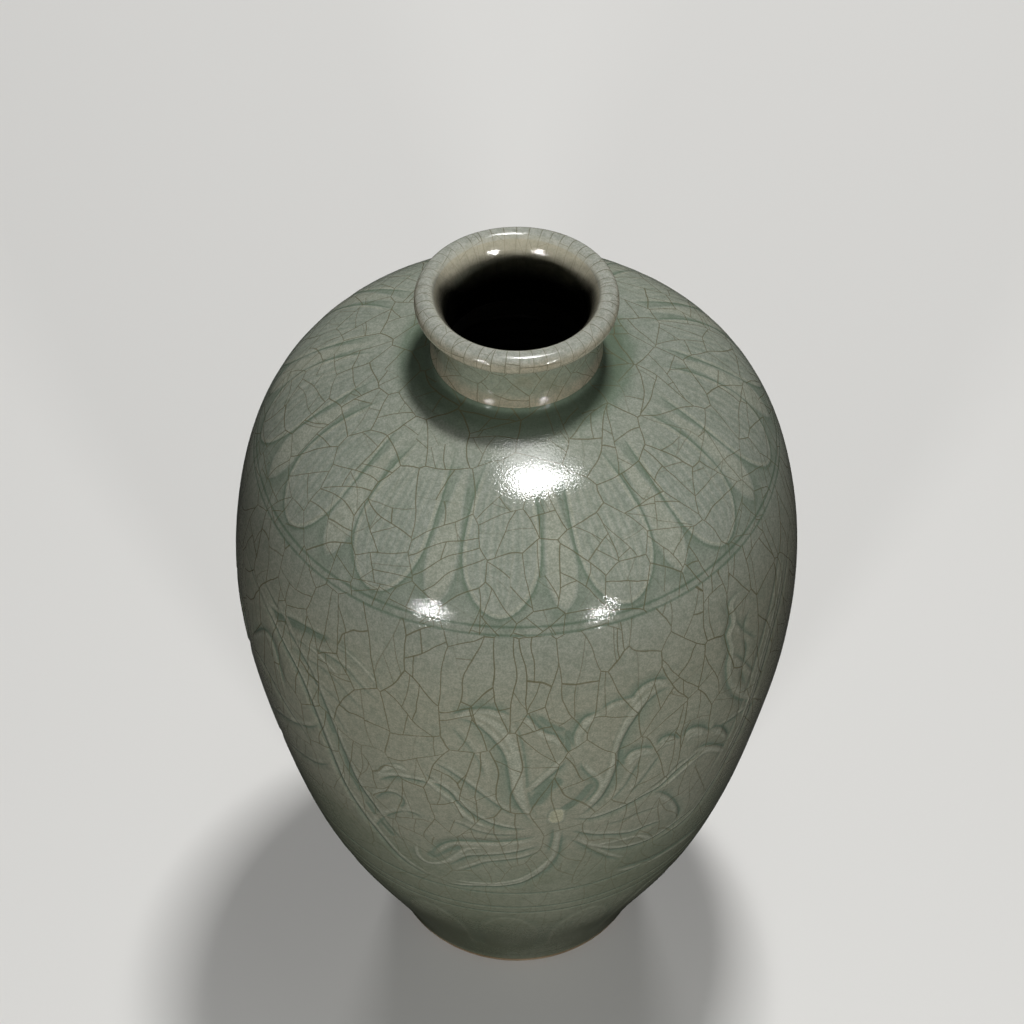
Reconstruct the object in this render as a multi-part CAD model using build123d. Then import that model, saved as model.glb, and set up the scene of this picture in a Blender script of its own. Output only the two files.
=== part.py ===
from build123d import *
import os

# A carved celadon meiping, a plum vase: thrown stoneware sections luted together, under a coat of glaze.
# Millimetres, +Z up, the axis of the vase on Z and the foot's resting edge at Z = 0. The front is -Y.

os.makedirs("parts", exist_ok=True)

# Coats and walls, measured square to the surface
glaze_thickness = 0.8
inner_glaze_thickness = 0.6
wall_thickness = 6.0
slip_thickness = 0.8

# Foot and base, turned from the lower section
foot_radius = 53.4
foot_height = 9.0
foot_ring_width = 9.0
foot_edge_bevel = 1.0
bare_edge_height = 2.6
heel_overhang = 3.4
heel_rise = 2.6
base_seat_width = 4.8
base_thickness = 7.0
base_glaze_thickness = 0.6

# Outline of the glazed body. The heel, the belly and the foot of the neck set it. For each point between
# two of them, a reach share says how far out it lies, from the narrow one to the belly, and a rise share
# how far up, from the lower one to the upper.
belly_radius = 109.9
belly_rise = 183.4
neck_foot_rise = 115.0
calf_reach_share = 0.505
calf_rise_share = 0.318
hip_reach_share = 0.84
hip_rise_share = 0.673
chest_reach_share = 0.954
chest_rise_share = 0.391
shoulder_reach_share = 0.744
shoulder_rise_share = 0.739
collar_reach_share = 0.392
collar_rise_share = 0.918
heel_lean_share = 0.42
collar_lean_share = 0.22

# Neck, from the luting seam up to the middle of the rolled lip. Its radii are set out from the waist.
waist_radius = 30.3
waist_rise = 8.8
neck_thickness = 4.3
seam_flare = 0.9
seam_rise = 2.6
cove_reach = 4.8
throat_rise = 8.0
lip_rise = 7.6
lip_set_out = 3.05
lip_roll_radius = 4.15

# Turned grooves: each height is measured from the nearest point of the outline
groove_width = 1.8
groove_depth = 0.55
shoulder_groove_drop = 15.6
shoulder_groove_gap = 3.0
scroll_groove_rise = 34.4
base_groove_rise = 20.2
base_groove_gap = 6.2

# Heights that follow from the rises
heel_height = foot_height + heel_rise
calf_height = heel_height + belly_rise * calf_rise_share
hip_height = heel_height + belly_rise * hip_rise_share
belly_height = heel_height + belly_rise
chest_height = belly_height + neck_foot_rise * chest_rise_share
shoulder_height = belly_height + neck_foot_rise * shoulder_rise_share
collar_height = belly_height + neck_foot_rise * collar_rise_share
neck_foot_height = belly_height + neck_foot_rise
seam_height = neck_foot_height + seam_rise
waist_height = seam_height + waist_rise
throat_height = waist_height + throat_rise
lip_height = throat_height + lip_rise

# Radii that follow from the heel, the belly and the waist of the neck
heel_radius = foot_radius + heel_overhang
calf_radius = heel_radius + (belly_radius - heel_radius) * calf_reach_share
hip_radius = heel_radius + (belly_radius - heel_radius) * hip_reach_share
throat_radius = waist_radius - neck_thickness
seam_radius = waist_radius + seam_flare
neck_foot_radius = seam_radius + cove_reach
lip_ring_radius = waist_radius + lip_set_out
chest_radius = neck_foot_radius + (belly_radius - neck_foot_radius) * chest_reach_share
shoulder_radius = neck_foot_radius + (belly_radius - neck_foot_radius) * shoulder_reach_share
collar_radius = neck_foot_radius + (belly_radius - neck_foot_radius) * collar_reach_share

# Sizes of the pieces that meet
cavity_inset = glaze_thickness + wall_thickness
clay_foot_radius = foot_radius - glaze_thickness
recess_radius = foot_radius - foot_ring_width
base_radius = recess_radius + base_seat_width
base_top = foot_height + base_thickness
clay_throat_radius = throat_radius + inner_glaze_thickness
clay_roll_radius = lip_roll_radius - glaze_thickness

# How finely an inset outline is followed, and how often a height is halved in on
outline_steps = 14
halvings = 30


def at(radius, height):
    """A point of a section, which lies in the plane of X and Z."""
    return Vector(radius, 0, height)


def band(low_radius, high_radius, low_height, high_height):
    """A rectangular section between two radii and two heights."""
    corners = [
        at(low_radius, low_height),
        at(high_radius, low_height),
        at(high_radius, high_height),
        at(low_radius, high_height),
    ]
    return make_face(Polyline(*corners, close=True))


def round_section(centre, radius):
    """A round section, as of a roll of clay or of a groove."""
    return Plane(origin=centre, x_dir=(1, 0, 0), z_dir=(0, -1, 0)) * Circle(radius)


def turned(section):
    """A full turn of a section about the vase's axis."""
    return revolve(section, Axis.Z)


outline = Spline(
    [
        at(heel_radius, heel_height),
        at(calf_radius, calf_height),
        at(hip_radius, hip_height),
        at(belly_radius, belly_height),
        at(chest_radius, chest_height),
        at(shoulder_radius, shoulder_height),
        at(collar_radius, collar_height),
        at(neck_foot_radius, neck_foot_height),
    ],
    tangents=[at(heel_lean_share, 1), at(-1, collar_lean_share)],
)


def inset_point(share, inset):
    """A point at a share of the outline's length, moved square to it into the wall."""
    point = outline @ share
    along = outline % share
    return at(point.X - along.Z * inset, point.Z + along.X * inset)


def inset_outline(inset):
    """The whole outline moved into the wall, from the heel to the foot of the neck."""
    if inset == 0:
        return outline
    points = [inset_point(step / outline_steps, inset) for step in range(outline_steps + 1)]
    return Spline(points, tangents=[outline % 0, outline % 1])


def share_at(height):
    """Where along the outline a height lies, found by halving."""
    low = 0.0
    high = 1.0
    for _ in range(halvings):
        middle = (low + high) / 2
        if (outline @ middle).Z < height:
            low = middle
        else:
            high = middle
    return low


def filled(inset):
    """The section from the axis out to an inset of the glazed body, from the foot ring to the seam."""
    side = inset_outline(inset)
    foot = at(foot_radius - inset, foot_height)
    seam = at(seam_radius - inset, seam_height)
    neck_cove = Spline([side @ 1, seam], tangents=[side % 1, at(waist_radius - seam_radius, waist_rise)])
    edges = [
        Line(at(0, foot_height), foot),
        Line(foot, side @ 0),
        side,
        neck_cove,
        Line(seam, at(0, seam_height)),
        Line(at(0, seam_height), at(0, foot_height)),
    ]
    return make_face(edges)


def hollow(inset, mouth_radius):
    """The section of the space inside an inset, with the straight throat up to the seam."""
    side = inset_outline(inset)
    under_neck = side @ 1 + (side % 1) * ((side @ 1).X - mouth_radius) / abs((side % 1).X)
    edges = [
        Line(at(0, (side @ 0).Z), side @ 0),
        side,
        Line(side @ 1, under_neck),
        Line(under_neck, at(mouth_radius, seam_height)),
        Line(at(mouth_radius, seam_height), at(0, seam_height)),
        Line(at(0, seam_height), at(0, (side @ 0).Z)),
    ]
    return make_face(edges) - band(0, belly_radius, 0, base_top + inset - cavity_inset)


def neck_filled(coat, mouth_radius):
    """The section of the neck and its rolled lip under a coat, with the throat open."""
    outer_seam = at(seam_radius - glaze_thickness + coat, seam_height)
    outer_waist = at(waist_radius - glaze_thickness + coat, waist_height)
    roll_middle = at(lip_ring_radius, lip_height)
    roll_inside = at(lip_ring_radius - clay_roll_radius - coat, lip_height)
    throat_top = at(mouth_radius, throat_height)
    throat_foot = at(mouth_radius, seam_height)
    edges = [
        Spline(
            [outer_seam, outer_waist, roll_middle],
            tangents=[outer_waist - outer_seam, at(lip_ring_radius - waist_radius, lip_rise)],
        ),
        Line(roll_middle, roll_inside),
        Spline([roll_inside, throat_top], tangents=[at(0, -1), at(0, -1)]),
        Line(throat_top, throat_foot),
        Line(throat_foot, outer_seam),
    ]
    return make_face(edges) + round_section(roll_middle, clay_roll_radius + coat)


def groove_section(share, inset):
    """A tool's V cut, square to the surface at an inset, drawn on to twice its size outside the surface."""
    run = (outline % share) * groove_width
    deepest = inset_point(share, inset + groove_depth)
    outside = inset_point(share, inset - groove_depth)
    return make_face(Polyline(deepest, outside + run, outside - run, close=True))


def groove_sections(inset):
    """The sections that cut the grooves into the surface at an inset.

    They are a pair on the shoulder, one under the scroll band and a pair over the foot.
    """
    shoulder_groove = shoulder_height - shoulder_groove_drop
    base_groove = calf_height + base_groove_rise
    heights = [
        shoulder_groove,
        shoulder_groove + shoulder_groove_gap,
        calf_height + scroll_groove_rise,
        base_groove,
        base_groove - base_groove_gap,
    ]
    return [groove_section(share_at(height), inset) for height in heights]


def cut_all(section, cuts):
    """A section less each of the cuts."""
    for cut in cuts:
        section = section - cut
    return section


def clay_pieces():
    """The foot ring, base, two thrown sections with their slip, neck and lip."""
    solid = cut_all(filled(glaze_thickness), groove_sections(glaze_thickness))
    wall = solid - hollow(cavity_inset, clay_throat_radius) - band(0, base_radius, foot_height, base_top)
    outside = belly_radius + glaze_thickness
    belly_slip_top = belly_height + slip_thickness
    neck_slip_top = seam_height + slip_thickness
    neck = neck_filled(0, clay_throat_radius)
    roll = round_section(at(lip_ring_radius, lip_height), clay_roll_radius)
    foot = band(recess_radius, clay_foot_radius, 0, foot_height)
    foot_edges = [vertex for vertex in foot.vertices() if vertex.Z < foot_edge_bevel]
    return {
        "foot_ring": turned(chamfer(foot_edges, foot_edge_bevel)),
        "base_disc": turned(band(0, base_radius, foot_height, base_top)),
        "lower_body": turned(wall & band(0, outside, foot_height, belly_height)),
        "belly_slip": turned(wall & band(0, outside, belly_height, belly_slip_top)),
        "upper_body": turned(wall & band(0, outside, belly_slip_top, seam_height)),
        "neck_slip": turned(neck & band(0, outside, seam_height, neck_slip_top)),
        "neck_collar": turned((neck & band(0, outside, neck_slip_top, lip_height)) - roll),
        "mouth_rim": turned(roll),
    }


def glaze_coats():
    """The coats of glaze: over the body, over the neck and lip, inside, and under the base."""
    body_clay = cut_all(filled(glaze_thickness), groove_sections(glaze_thickness))
    body = cut_all(filled(0), groove_sections(0)) - body_clay
    foot_skirt = band(clay_foot_radius, foot_radius, bare_edge_height, foot_height)
    neck = neck_filled(glaze_thickness, throat_radius) - neck_filled(0, clay_throat_radius)
    inside = hollow(cavity_inset, clay_throat_radius)
    inside = inside - hollow(cavity_inset + inner_glaze_thickness, throat_radius)
    under = band(0, recess_radius, foot_height - base_glaze_thickness, foot_height)
    return {
        "body_glaze": turned(body + foot_skirt),
        "neck_glaze": turned(neck),
        "inner_glaze": turned(inside),
        "base_glaze": turned(under),
    }


pieces = clay_pieces() | glaze_coats()
for name, piece in pieces.items():
    export_step(piece, f"parts/{name}.step")
    print(name, f"{piece.volume:.0f} mm3")
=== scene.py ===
import math

import bpy
import numpy as np
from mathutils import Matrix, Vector


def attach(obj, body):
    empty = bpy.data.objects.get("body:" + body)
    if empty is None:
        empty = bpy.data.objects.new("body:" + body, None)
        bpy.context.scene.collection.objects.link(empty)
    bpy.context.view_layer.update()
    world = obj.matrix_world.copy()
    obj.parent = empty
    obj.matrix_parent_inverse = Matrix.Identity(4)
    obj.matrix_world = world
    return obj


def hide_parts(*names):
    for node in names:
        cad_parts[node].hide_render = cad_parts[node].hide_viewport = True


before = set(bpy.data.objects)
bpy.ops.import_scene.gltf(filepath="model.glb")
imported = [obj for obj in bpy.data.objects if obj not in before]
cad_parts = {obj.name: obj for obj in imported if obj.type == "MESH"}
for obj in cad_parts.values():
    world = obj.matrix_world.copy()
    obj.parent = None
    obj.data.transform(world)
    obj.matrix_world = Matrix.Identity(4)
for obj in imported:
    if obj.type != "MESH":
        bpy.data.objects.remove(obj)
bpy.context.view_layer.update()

# A carved celadon meiping. Lengths are in millimetres here and go to metres when a piece is made.
MM = 0.001
FULL_TURN = 2 * math.pi

# Coats and walls, as in the CAD
glaze_thickness = 0.8
inner_glaze_thickness = 0.6
wall_thickness = 6.0

# Foot and base, as in the CAD
foot_radius = 53.4
foot_height = 9.0
foot_ring_width = 9.0
foot_edge_bevel = 1.0
bare_edge_height = 2.6
heel_overhang = 3.4
heel_rise = 2.6
base_thickness = 7.0
base_glaze_thickness = 0.6

# Outline of the glazed body, as in the CAD
belly_radius = 109.9
belly_rise = 183.4
neck_foot_rise = 115.0
calf_reach_share = 0.505
calf_rise_share = 0.318
hip_reach_share = 0.84
hip_rise_share = 0.673
chest_reach_share = 0.954
chest_rise_share = 0.391
shoulder_reach_share = 0.744
shoulder_rise_share = 0.739
collar_reach_share = 0.392
collar_rise_share = 0.918
heel_lean_share = 0.42
collar_lean_share = 0.22

# Neck and lip, as in the CAD
waist_radius = 30.3
waist_rise = 8.8
neck_thickness = 4.3
seam_flare = 0.9
seam_rise = 2.6
cove_reach = 4.8
throat_rise = 8.0
lip_rise = 7.6
lip_set_out = 3.05
lip_roll_radius = 4.15

# Turned grooves, as in the CAD
groove_width = 1.8
groove_depth = 0.55
shoulder_groove_drop = 15.6
shoulder_groove_gap = 3.0
scroll_groove_rise = 34.4
base_groove_rise = 20.2
base_groove_gap = 6.2

# Heights and radii that follow, as in the CAD
heel_height = foot_height + heel_rise
heel_radius = foot_radius + heel_overhang
belly_height = heel_height + belly_rise
neck_foot_height = belly_height + neck_foot_rise
seam_height = neck_foot_height + seam_rise
waist_height = seam_height + waist_rise
throat_height = waist_height + throat_rise
lip_height = throat_height + lip_rise
throat_radius = waist_radius - neck_thickness
seam_radius = waist_radius + seam_flare
neck_foot_radius = seam_radius + cove_reach
lip_ring_radius = waist_radius + lip_set_out
recess_radius = foot_radius - foot_ring_width
cavity_inset = glaze_thickness + wall_thickness
base_top = foot_height + base_thickness


def out_to_belly(share):
    """A radius at a share of the way from the heel out to the belly."""
    return heel_radius + (belly_radius - heel_radius) * share


def out_from_neck(share):
    """A radius at a share of the way from the foot of the neck out to the belly."""
    return neck_foot_radius + (belly_radius - neck_foot_radius) * share


outline_points = [
    (heel_radius, heel_height),
    (out_to_belly(calf_reach_share), heel_height + belly_rise * calf_rise_share),
    (out_to_belly(hip_reach_share), heel_height + belly_rise * hip_rise_share),
    (belly_radius, belly_height),
    (out_from_neck(chest_reach_share), belly_height + neck_foot_rise * chest_rise_share),
    (out_from_neck(shoulder_reach_share), belly_height + neck_foot_rise * shoulder_rise_share),
    (out_from_neck(collar_reach_share), belly_height + neck_foot_rise * collar_rise_share),
    (neck_foot_radius, neck_foot_height),
]


def unit_pair(pair):
    """A direction of a section at length one."""
    return np.array(pair, float) / math.hypot(*pair)


def smooth_curve(points, start, end, count):
    """Evenly spaced points along the smooth curve through these, with a set direction at each end."""
    points = np.array(points, float)
    knots = np.concatenate([[0], np.cumsum(np.hypot(*np.diff(points, axis=0).T))])
    span = np.diff(knots)
    last = len(knots) - 1
    table = np.zeros((last + 1, last + 1))
    goal = np.zeros((last + 1, 2))
    table[0, 0] = 1
    table[last, last] = 1
    goal[0] = unit_pair(start)
    goal[last] = unit_pair(end)
    for i in range(1, last):
        before, after = span[i - 1], span[i]
        table[i, i - 1 : i + 2] = after, 2 * (before + after), before
        rise_before = (points[i] - points[i - 1]) / before
        rise_after = (points[i + 1] - points[i]) / after
        goal[i] = 3 * (rise_before * after + rise_after * before)
    slopes = np.linalg.solve(table, goal)
    along = np.linspace(0, knots[-1], count)
    i = np.clip(np.searchsorted(knots, along, side="right") - 1, 0, last - 1)
    width = span[i][:, None]
    t = ((along - knots[i]) / span[i])[:, None]
    low = points[i] * (2 * t**3 - 3 * t**2 + 1) + slopes[i] * width * (t**3 - 2 * t**2 + t)
    high = points[i + 1] * (3 * t**2 - 2 * t**3) + slopes[i + 1] * width * (t**3 - t**2)
    return low + high


def lengths_along(path):
    """How far along a path each of its points lies."""
    return np.concatenate([[0], np.cumsum(np.hypot(*np.diff(path, axis=0).T))])


def evenly(path, count):
    """The same path with evenly spaced points."""
    along = lengths_along(path)
    spots = np.linspace(0, along[-1], count)
    return np.stack([np.interp(spots, along, path[:, 0]), np.interp(spots, along, path[:, 1])], 1)


def outward(path):
    """The direction square to a section's path at each point, out of the clay where the path climbs."""
    run = np.gradient(path, axis=0)
    run /= np.hypot(run[:, 0], run[:, 1])[:, None]
    return np.stack([run[:, 1], -run[:, 0]], 1)


outline_samples = 4001
outline = smooth_curve(outline_points, (heel_lean_share, 1), (-1, collar_lean_share), outline_samples)
outline_along = lengths_along(outline)
outline_length = outline_along[-1]


def along_at(height):
    """How far up the outline, from the heel, a height lies."""
    return float(np.interp(height, outline[:, 1], outline_along))


# Camera, found from the outline, the lip, the grooves and the foot in the photograph
photo_size = 1024
photo_axis_column = 516.6
photo_focal_length = 3200
sensor_width = 36
camera_elevation = math.radians(46.482)
camera_distance = 1245.08
aim_height = 224.452
sight_line = np.array([0, math.cos(camera_elevation), -math.sin(camera_elevation)])
sight_up = np.array([0, math.sin(camera_elevation), math.cos(camera_elevation)])
camera_place = np.array([0, 0, aim_height]) - camera_distance * sight_line

# Where along a line of sight the vase is looked for, in millimetres from the camera
cast_near = 800
cast_far = 1500
cast_step = 0.25


def on_the_vase(pixels):
    """Where lines of sight through the photograph meet the vase: degrees round it, length up it."""
    pixels = np.array(pixels, float)
    aside = (pixels[:, 0] - photo_axis_column) / photo_focal_length
    up = (photo_size / 2 - pixels[:, 1]) / photo_focal_length
    sight = sight_line + aside[:, None] * np.array([1, 0, 0]) + up[:, None] * sight_up
    steps = np.arange(cast_near, cast_far, cast_step)
    places = camera_place + sight[:, None, :] * steps[None, :, None]
    radius = np.hypot(places[..., 0], places[..., 1])
    wall = np.interp(places[..., 2], outline[:, 1], outline[:, 0], left=0, right=0)
    depth = wall - radius
    first = np.argmax(depth > 0, axis=1)
    missed = ~(depth > 0).any(axis=1)
    first[missed] = np.argmax(depth[missed], axis=1)
    hit = places[np.arange(len(pixels)), first]
    turn = np.degrees(np.arctan2(hit[:, 0], -hit[:, 1]))
    return np.stack([turn, np.interp(hit[:, 2], outline[:, 1], outline_along)], 1)


# The relief is worked out on a grid: columns round the vase, rows up its outline
columns = 1280
relief_rows = 720
turns = np.arange(columns) * 360 / columns
rows_along = np.linspace(0, outline_length, relief_rows)
rows_radius = np.interp(rows_along, outline_along, outline[:, 0])


def blank():
    """A relief with nothing cut in it."""
    return np.zeros((relief_rows, columns))


def wrapped(degrees):
    """An angle brought to between minus and plus half a turn."""
    return (degrees + 180) % 360 - 180


def eased(value, low, high):
    """From 0 at low to 1 at high, smoothly."""
    t = np.clip((value - low) / (high - low), 0, 1)
    return t * t * (3 - 2 * t)


def soft_line(distance, width):
    """One where a distance is nothing, falling off over a width."""
    return np.exp(-((distance / width) ** 2))


def softened(relief, reach):
    """A relief blurred over so many rows and columns."""
    steps = np.arange(-3 * reach, 3 * reach + 1).astype(int)
    weights = np.exp(-0.5 * (steps / reach) ** 2)
    weights /= weights.sum()
    across = sum(w * np.roll(relief, k, axis=1) for k, w in zip(steps, weights))
    size = len(steps) // 2
    padded = np.pad(across, ((size, size), (0, 0)), mode="edge")
    count = len(relief)
    return sum(w * padded[size + k : size + k + count] for k, w in zip(steps, weights))


def window(path, reach):
    """The rows and columns within reach, in millimetres, of a path of degrees and lengths."""
    low = np.searchsorted(rows_along, path[:, 1].min() - reach)
    high = np.searchsorted(rows_along, path[:, 1].max() + reach)
    rows = np.arange(max(low, 0), min(high, relief_rows))
    if len(rows) == 0:
        return rows, rows
    margin = math.degrees(reach / rows_radius[rows].min())
    first = math.floor((path[:, 0].min() - margin) / 360 * columns)
    final = math.ceil((path[:, 0].max() + margin) / 360 * columns)
    return rows, np.arange(first, final + 1)


def nearest(path, rows, cols):
    """For each grid point of a window: its distance to a path, on which hand it lies, and how far along.

    The hand is plus one on the right of someone who walks the path on the outside of the vase."""
    turn = cols * 360 / columns
    best = np.full((len(rows), len(cols)), np.inf)
    hand = np.zeros_like(best)
    along = np.zeros_like(best)
    mm_per_degree = np.radians(rows_radius[rows])[:, None]
    walked = 0.0
    for start, end in zip(path[:-1], path[1:]):
        run_x = (end[0] - start[0]) * mm_per_degree
        run_y = end[1] - start[1]
        x = (turn[None, :] - start[0]) * mm_per_degree
        y = (rows_along[rows] - start[1])[:, None]
        square = np.maximum(run_x**2 + run_y**2, 1e-9)
        t = np.clip((x * run_x + y * run_y) / square, 0, 1)
        gap = np.hypot(x - t * run_x, y - t * run_y)
        nearer = gap < best
        best = np.where(nearer, gap, best)
        hand = np.where(nearer, np.sign(x * run_y - y * run_x), hand)
        length = np.sqrt(square)
        along = np.where(nearer, walked + t * length, along)
        walked += float(np.median(length))
    return best, hand, along, walked


def flowing(points, per_span=7):
    """A smooth run of points through the ones given."""
    points = np.array(points, float)
    if len(points) < 3:
        return points
    ends = np.concatenate([[2 * points[0] - points[1]], points, [2 * points[-1] - points[-2]]])
    out = []
    for a, b, c, d in zip(ends[:-3], ends[1:-2], ends[2:-1], ends[3:]):
        for t in np.arange(per_span) / per_span:
            bow = (2 * a - 5 * b + 4 * c - d) * t**2 + (3 * b - a - 3 * c + d) * t**3
            out.append(0.5 * (2 * b + (c - a) * t + bow))
    out.append(points[-1])
    return np.array(out)


# A stroke of the knife and what the glaze does beside it, in millimetres
cut_wall = 0.8
taper_share = 0.22
taper_power = 0.7
tip_share = 0.02
least_stroke_width = 0.3
one_sided_power = 1.15
two_sided_power = 1.3
full_stroke_depth = 0.5
least_stroke_reach = 3.5
stroke_margin = 1.0
knife_line_width = 0.7
knife_line_share = 1.25
knife_line_tone = 1.7
slope_tone = 0.75
slope_tone_power = 0.7
bank_reach = 1.9
bank_width = 1.0
ridge_rise = 0.16
ridge_margin = 2.0
ridge_line_reach = 0.45
ridge_line_width = 0.4
ridge_line_tone = 0.7
least_swell = 0.2
pool_cut = 0.22
pool_edge_share = 0.55


class Carving:
    """What a set of strokes does: how deep it cuts, where the glaze pools and where it runs thin."""

    def __init__(self):
        self.cut = blank()
        self.raised = blank()
        self.pooled = blank()
        self.thinned = blank()

    def mark(self, field, at_cols, value):
        """Keeps whichever is the stronger, what is there or what a stroke brings."""
        field[at_cols] = np.maximum(field[at_cols], value)


def followed(path, reach):
    """The grid points near a path: where they are, their distance and hand, and the swell of the stroke."""
    rows, cols = window(path, reach)
    if len(rows) == 0:
        return None
    gap, hand, along, length = nearest(path, rows, cols)
    share = along / max(length, 1e-6)
    swell = eased(share, -tip_share, taper_share) * eased(1 - share, -tip_share, taper_share)
    return np.ix_(rows, cols % columns), gap, hand, swell**taper_power


def carve(work, path, width, depth, slope):
    """One stroke of the knife: steep along the path, rising over its width on the slope's hand."""
    found = followed(path, max(width, least_stroke_reach) + stroke_margin)
    if found is None:
        return
    at_cols, gap, hand, swell = found
    side = {"right": 1, "left": -1, "both": 0}[slope]
    wide = np.clip(1 - gap / np.maximum(width * swell, least_stroke_width), 0, 1)
    steep = np.clip(1 - gap / cut_wall, 0, 1)
    one_sided = np.where(hand == side, wide**one_sided_power, steep)
    cut = wide**two_sided_power if side == 0 else one_sided
    work.mark(work.cut, at_cols, cut * depth * swell)
    strength = swell * min(1, depth / full_stroke_depth)
    line = knife_line_tone * np.clip(knife_line_share - gap / knife_line_width, 0, 1)
    sloping = np.where((hand == side) | (side == 0), slope_tone * wide**slope_tone_power, 0)
    work.mark(work.pooled, at_cols, np.maximum(sloping, line) * strength)
    bank = soft_line(gap - bank_reach, bank_width) * (hand == -side) * (side != 0)
    work.mark(work.thinned, at_cols, bank * strength)


def ridge(work, path, width, tapered=True):
    """A raised, rounded run on which the glaze is thin, with a fine dark line down each side."""
    found = followed(path, width + ridge_margin)
    if found is None:
        return
    at_cols, gap, _, swell = found
    if not tapered:
        swell = 1
    half = width / 2 * np.maximum(swell, least_swell)
    crest = np.clip(1 - (gap / half) ** 2, 0, 1)
    work.mark(work.raised, at_cols, ridge_rise * crest * swell)
    work.mark(work.thinned, at_cols, crest**0.5 * swell)
    beside = soft_line(gap - half - ridge_line_reach, ridge_line_width)
    work.mark(work.pooled, at_cols, ridge_line_tone * beside * swell)


def pool(work, path, width):
    """A sunk patch where the glaze lies thick and green."""
    found = followed(path, width)
    if found is None:
        return
    at_cols, gap, _, _ = found
    patch = eased(1 - gap / (width / 2), 0, pool_edge_share)
    work.mark(work.pooled, at_cols, patch)
    work.mark(work.cut, at_cols, pool_cut * patch)


# Lotus petals on the shoulder: broad ones, with the tip of one behind showing in each gap
petal_count = 13
petal_length = 75.2
first_petal_turn = -3.9
petal_turn_spacing = 360 / petal_count
petal_drift = [0.2, 1.2, 1.3, 0.6, -0.4, 0.8, -0.7, 0.3, -0.5, 0.6, -0.6, -0.4, -1.1]
petal_reach_drift = [0.0, 0.9, 0.6, -0.5, 0.8, -0.9, 0.5, 0.2, -0.7, 0.6, -0.3, 0.4, 0.7]
petal_outline = [
    (3.5, 0.0),
    (7.4, 0.22),
    (9.3, 0.40),
    (9.9, 0.56),
    (9.7, 0.70),
    (8.6, 0.80),
    (6.9, 0.88),
    (4.6, 0.945),
    (2.2, 0.985),
    (0.0, 1.0),
]
hidden_petal_outline = [
    (1.2, 0.2),
    (2.4, 0.45),
    (3.5, 0.62),
    (4.0, 0.76),
    (3.5, 0.86),
    (2.2, 0.94),
    (0.0, 1.0),
]
hidden_petal_length = 74.0
petal_valley_width = 9.5
petal_cut_depth = 0.13
petal_shade_width = 3.0
petal_rim_width = 1.8
petal_streaks = 9.0
petal_valley_tone = 0.62
petal_near_tone = 0.3
petal_over_tone = 0.9
petal_rim_tone = 0.7
petal_rim_edge = (0.1, 0.6)
petal_streak_tone = 0.45
petal_streak_edge = (1.8, 3.8)
petal_knife_line_tone = 0.75
petal_knife_line_reach = 0.35
petal_knife_line_width = 0.4
petal_inner_line_tone = 0.1
petal_inner_line_reach = 0.25
petal_inner_line_width = 0.35
hidden_petal_tone = 0.55
hidden_petal_edge = (0.2, 1.2)
hidden_petal_cut_share = 0.3
hidden_valley_tone = 0.75
hidden_valley_power = 0.6
petal_tone_fade = (10, 34)
petal_cut_fade = (24, 48)


def petal_path(outline_shares, centre, length, base, up):
    """The closed outline of one petal, as degrees and lengths, down one side and up the other."""
    side = flowing(outline_shares, 5)
    run = base + up * side[:, 1] * length
    left = np.stack([centre - side[:, 0], run], 1)
    right = np.stack([centre + side[:, 0], run], 1)
    return np.concatenate([left, right[::-1][1:]])


def inside_petal(path, rows, cols):
    """Where a window's points lie within a petal's outline."""
    turn = cols * 360 / columns
    half = len(path) // 2
    left, right = path[: half + 1], path[half:][::-1]
    order = np.argsort(left[:, 1])
    low = np.interp(rows_along[rows], left[order, 1], left[order, 0])
    order = np.argsort(right[:, 1])
    high = np.interp(rows_along[rows], right[order, 1], right[order, 0])
    span = path[:, 1]
    within = (rows_along[rows] >= span.min()) & (rows_along[rows] <= span.max())
    return (turn[None, :] > low[:, None]) & (turn[None, :] < high[:, None]) & within[:, None]


def petal_field(path, reach):
    """The window round a petal: how far in from its outline each point lies, and the valley outside it.

    How far in is below zero outside the petal, and the valley falls from one at the outline to nothing."""
    rows, cols = window(path, reach)
    gap, _, _, _ = nearest(path, rows, cols)
    within = np.where(inside_petal(path, rows, cols), gap, -gap)
    return rows, cols, within, fading_out(within, reach)


def fading_out(within, reach):
    """From one at a petal's outline to nothing at a reach outside it, and nothing inside."""
    return np.clip(1 + within / reach, 0, 1) * (within < 0)


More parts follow.
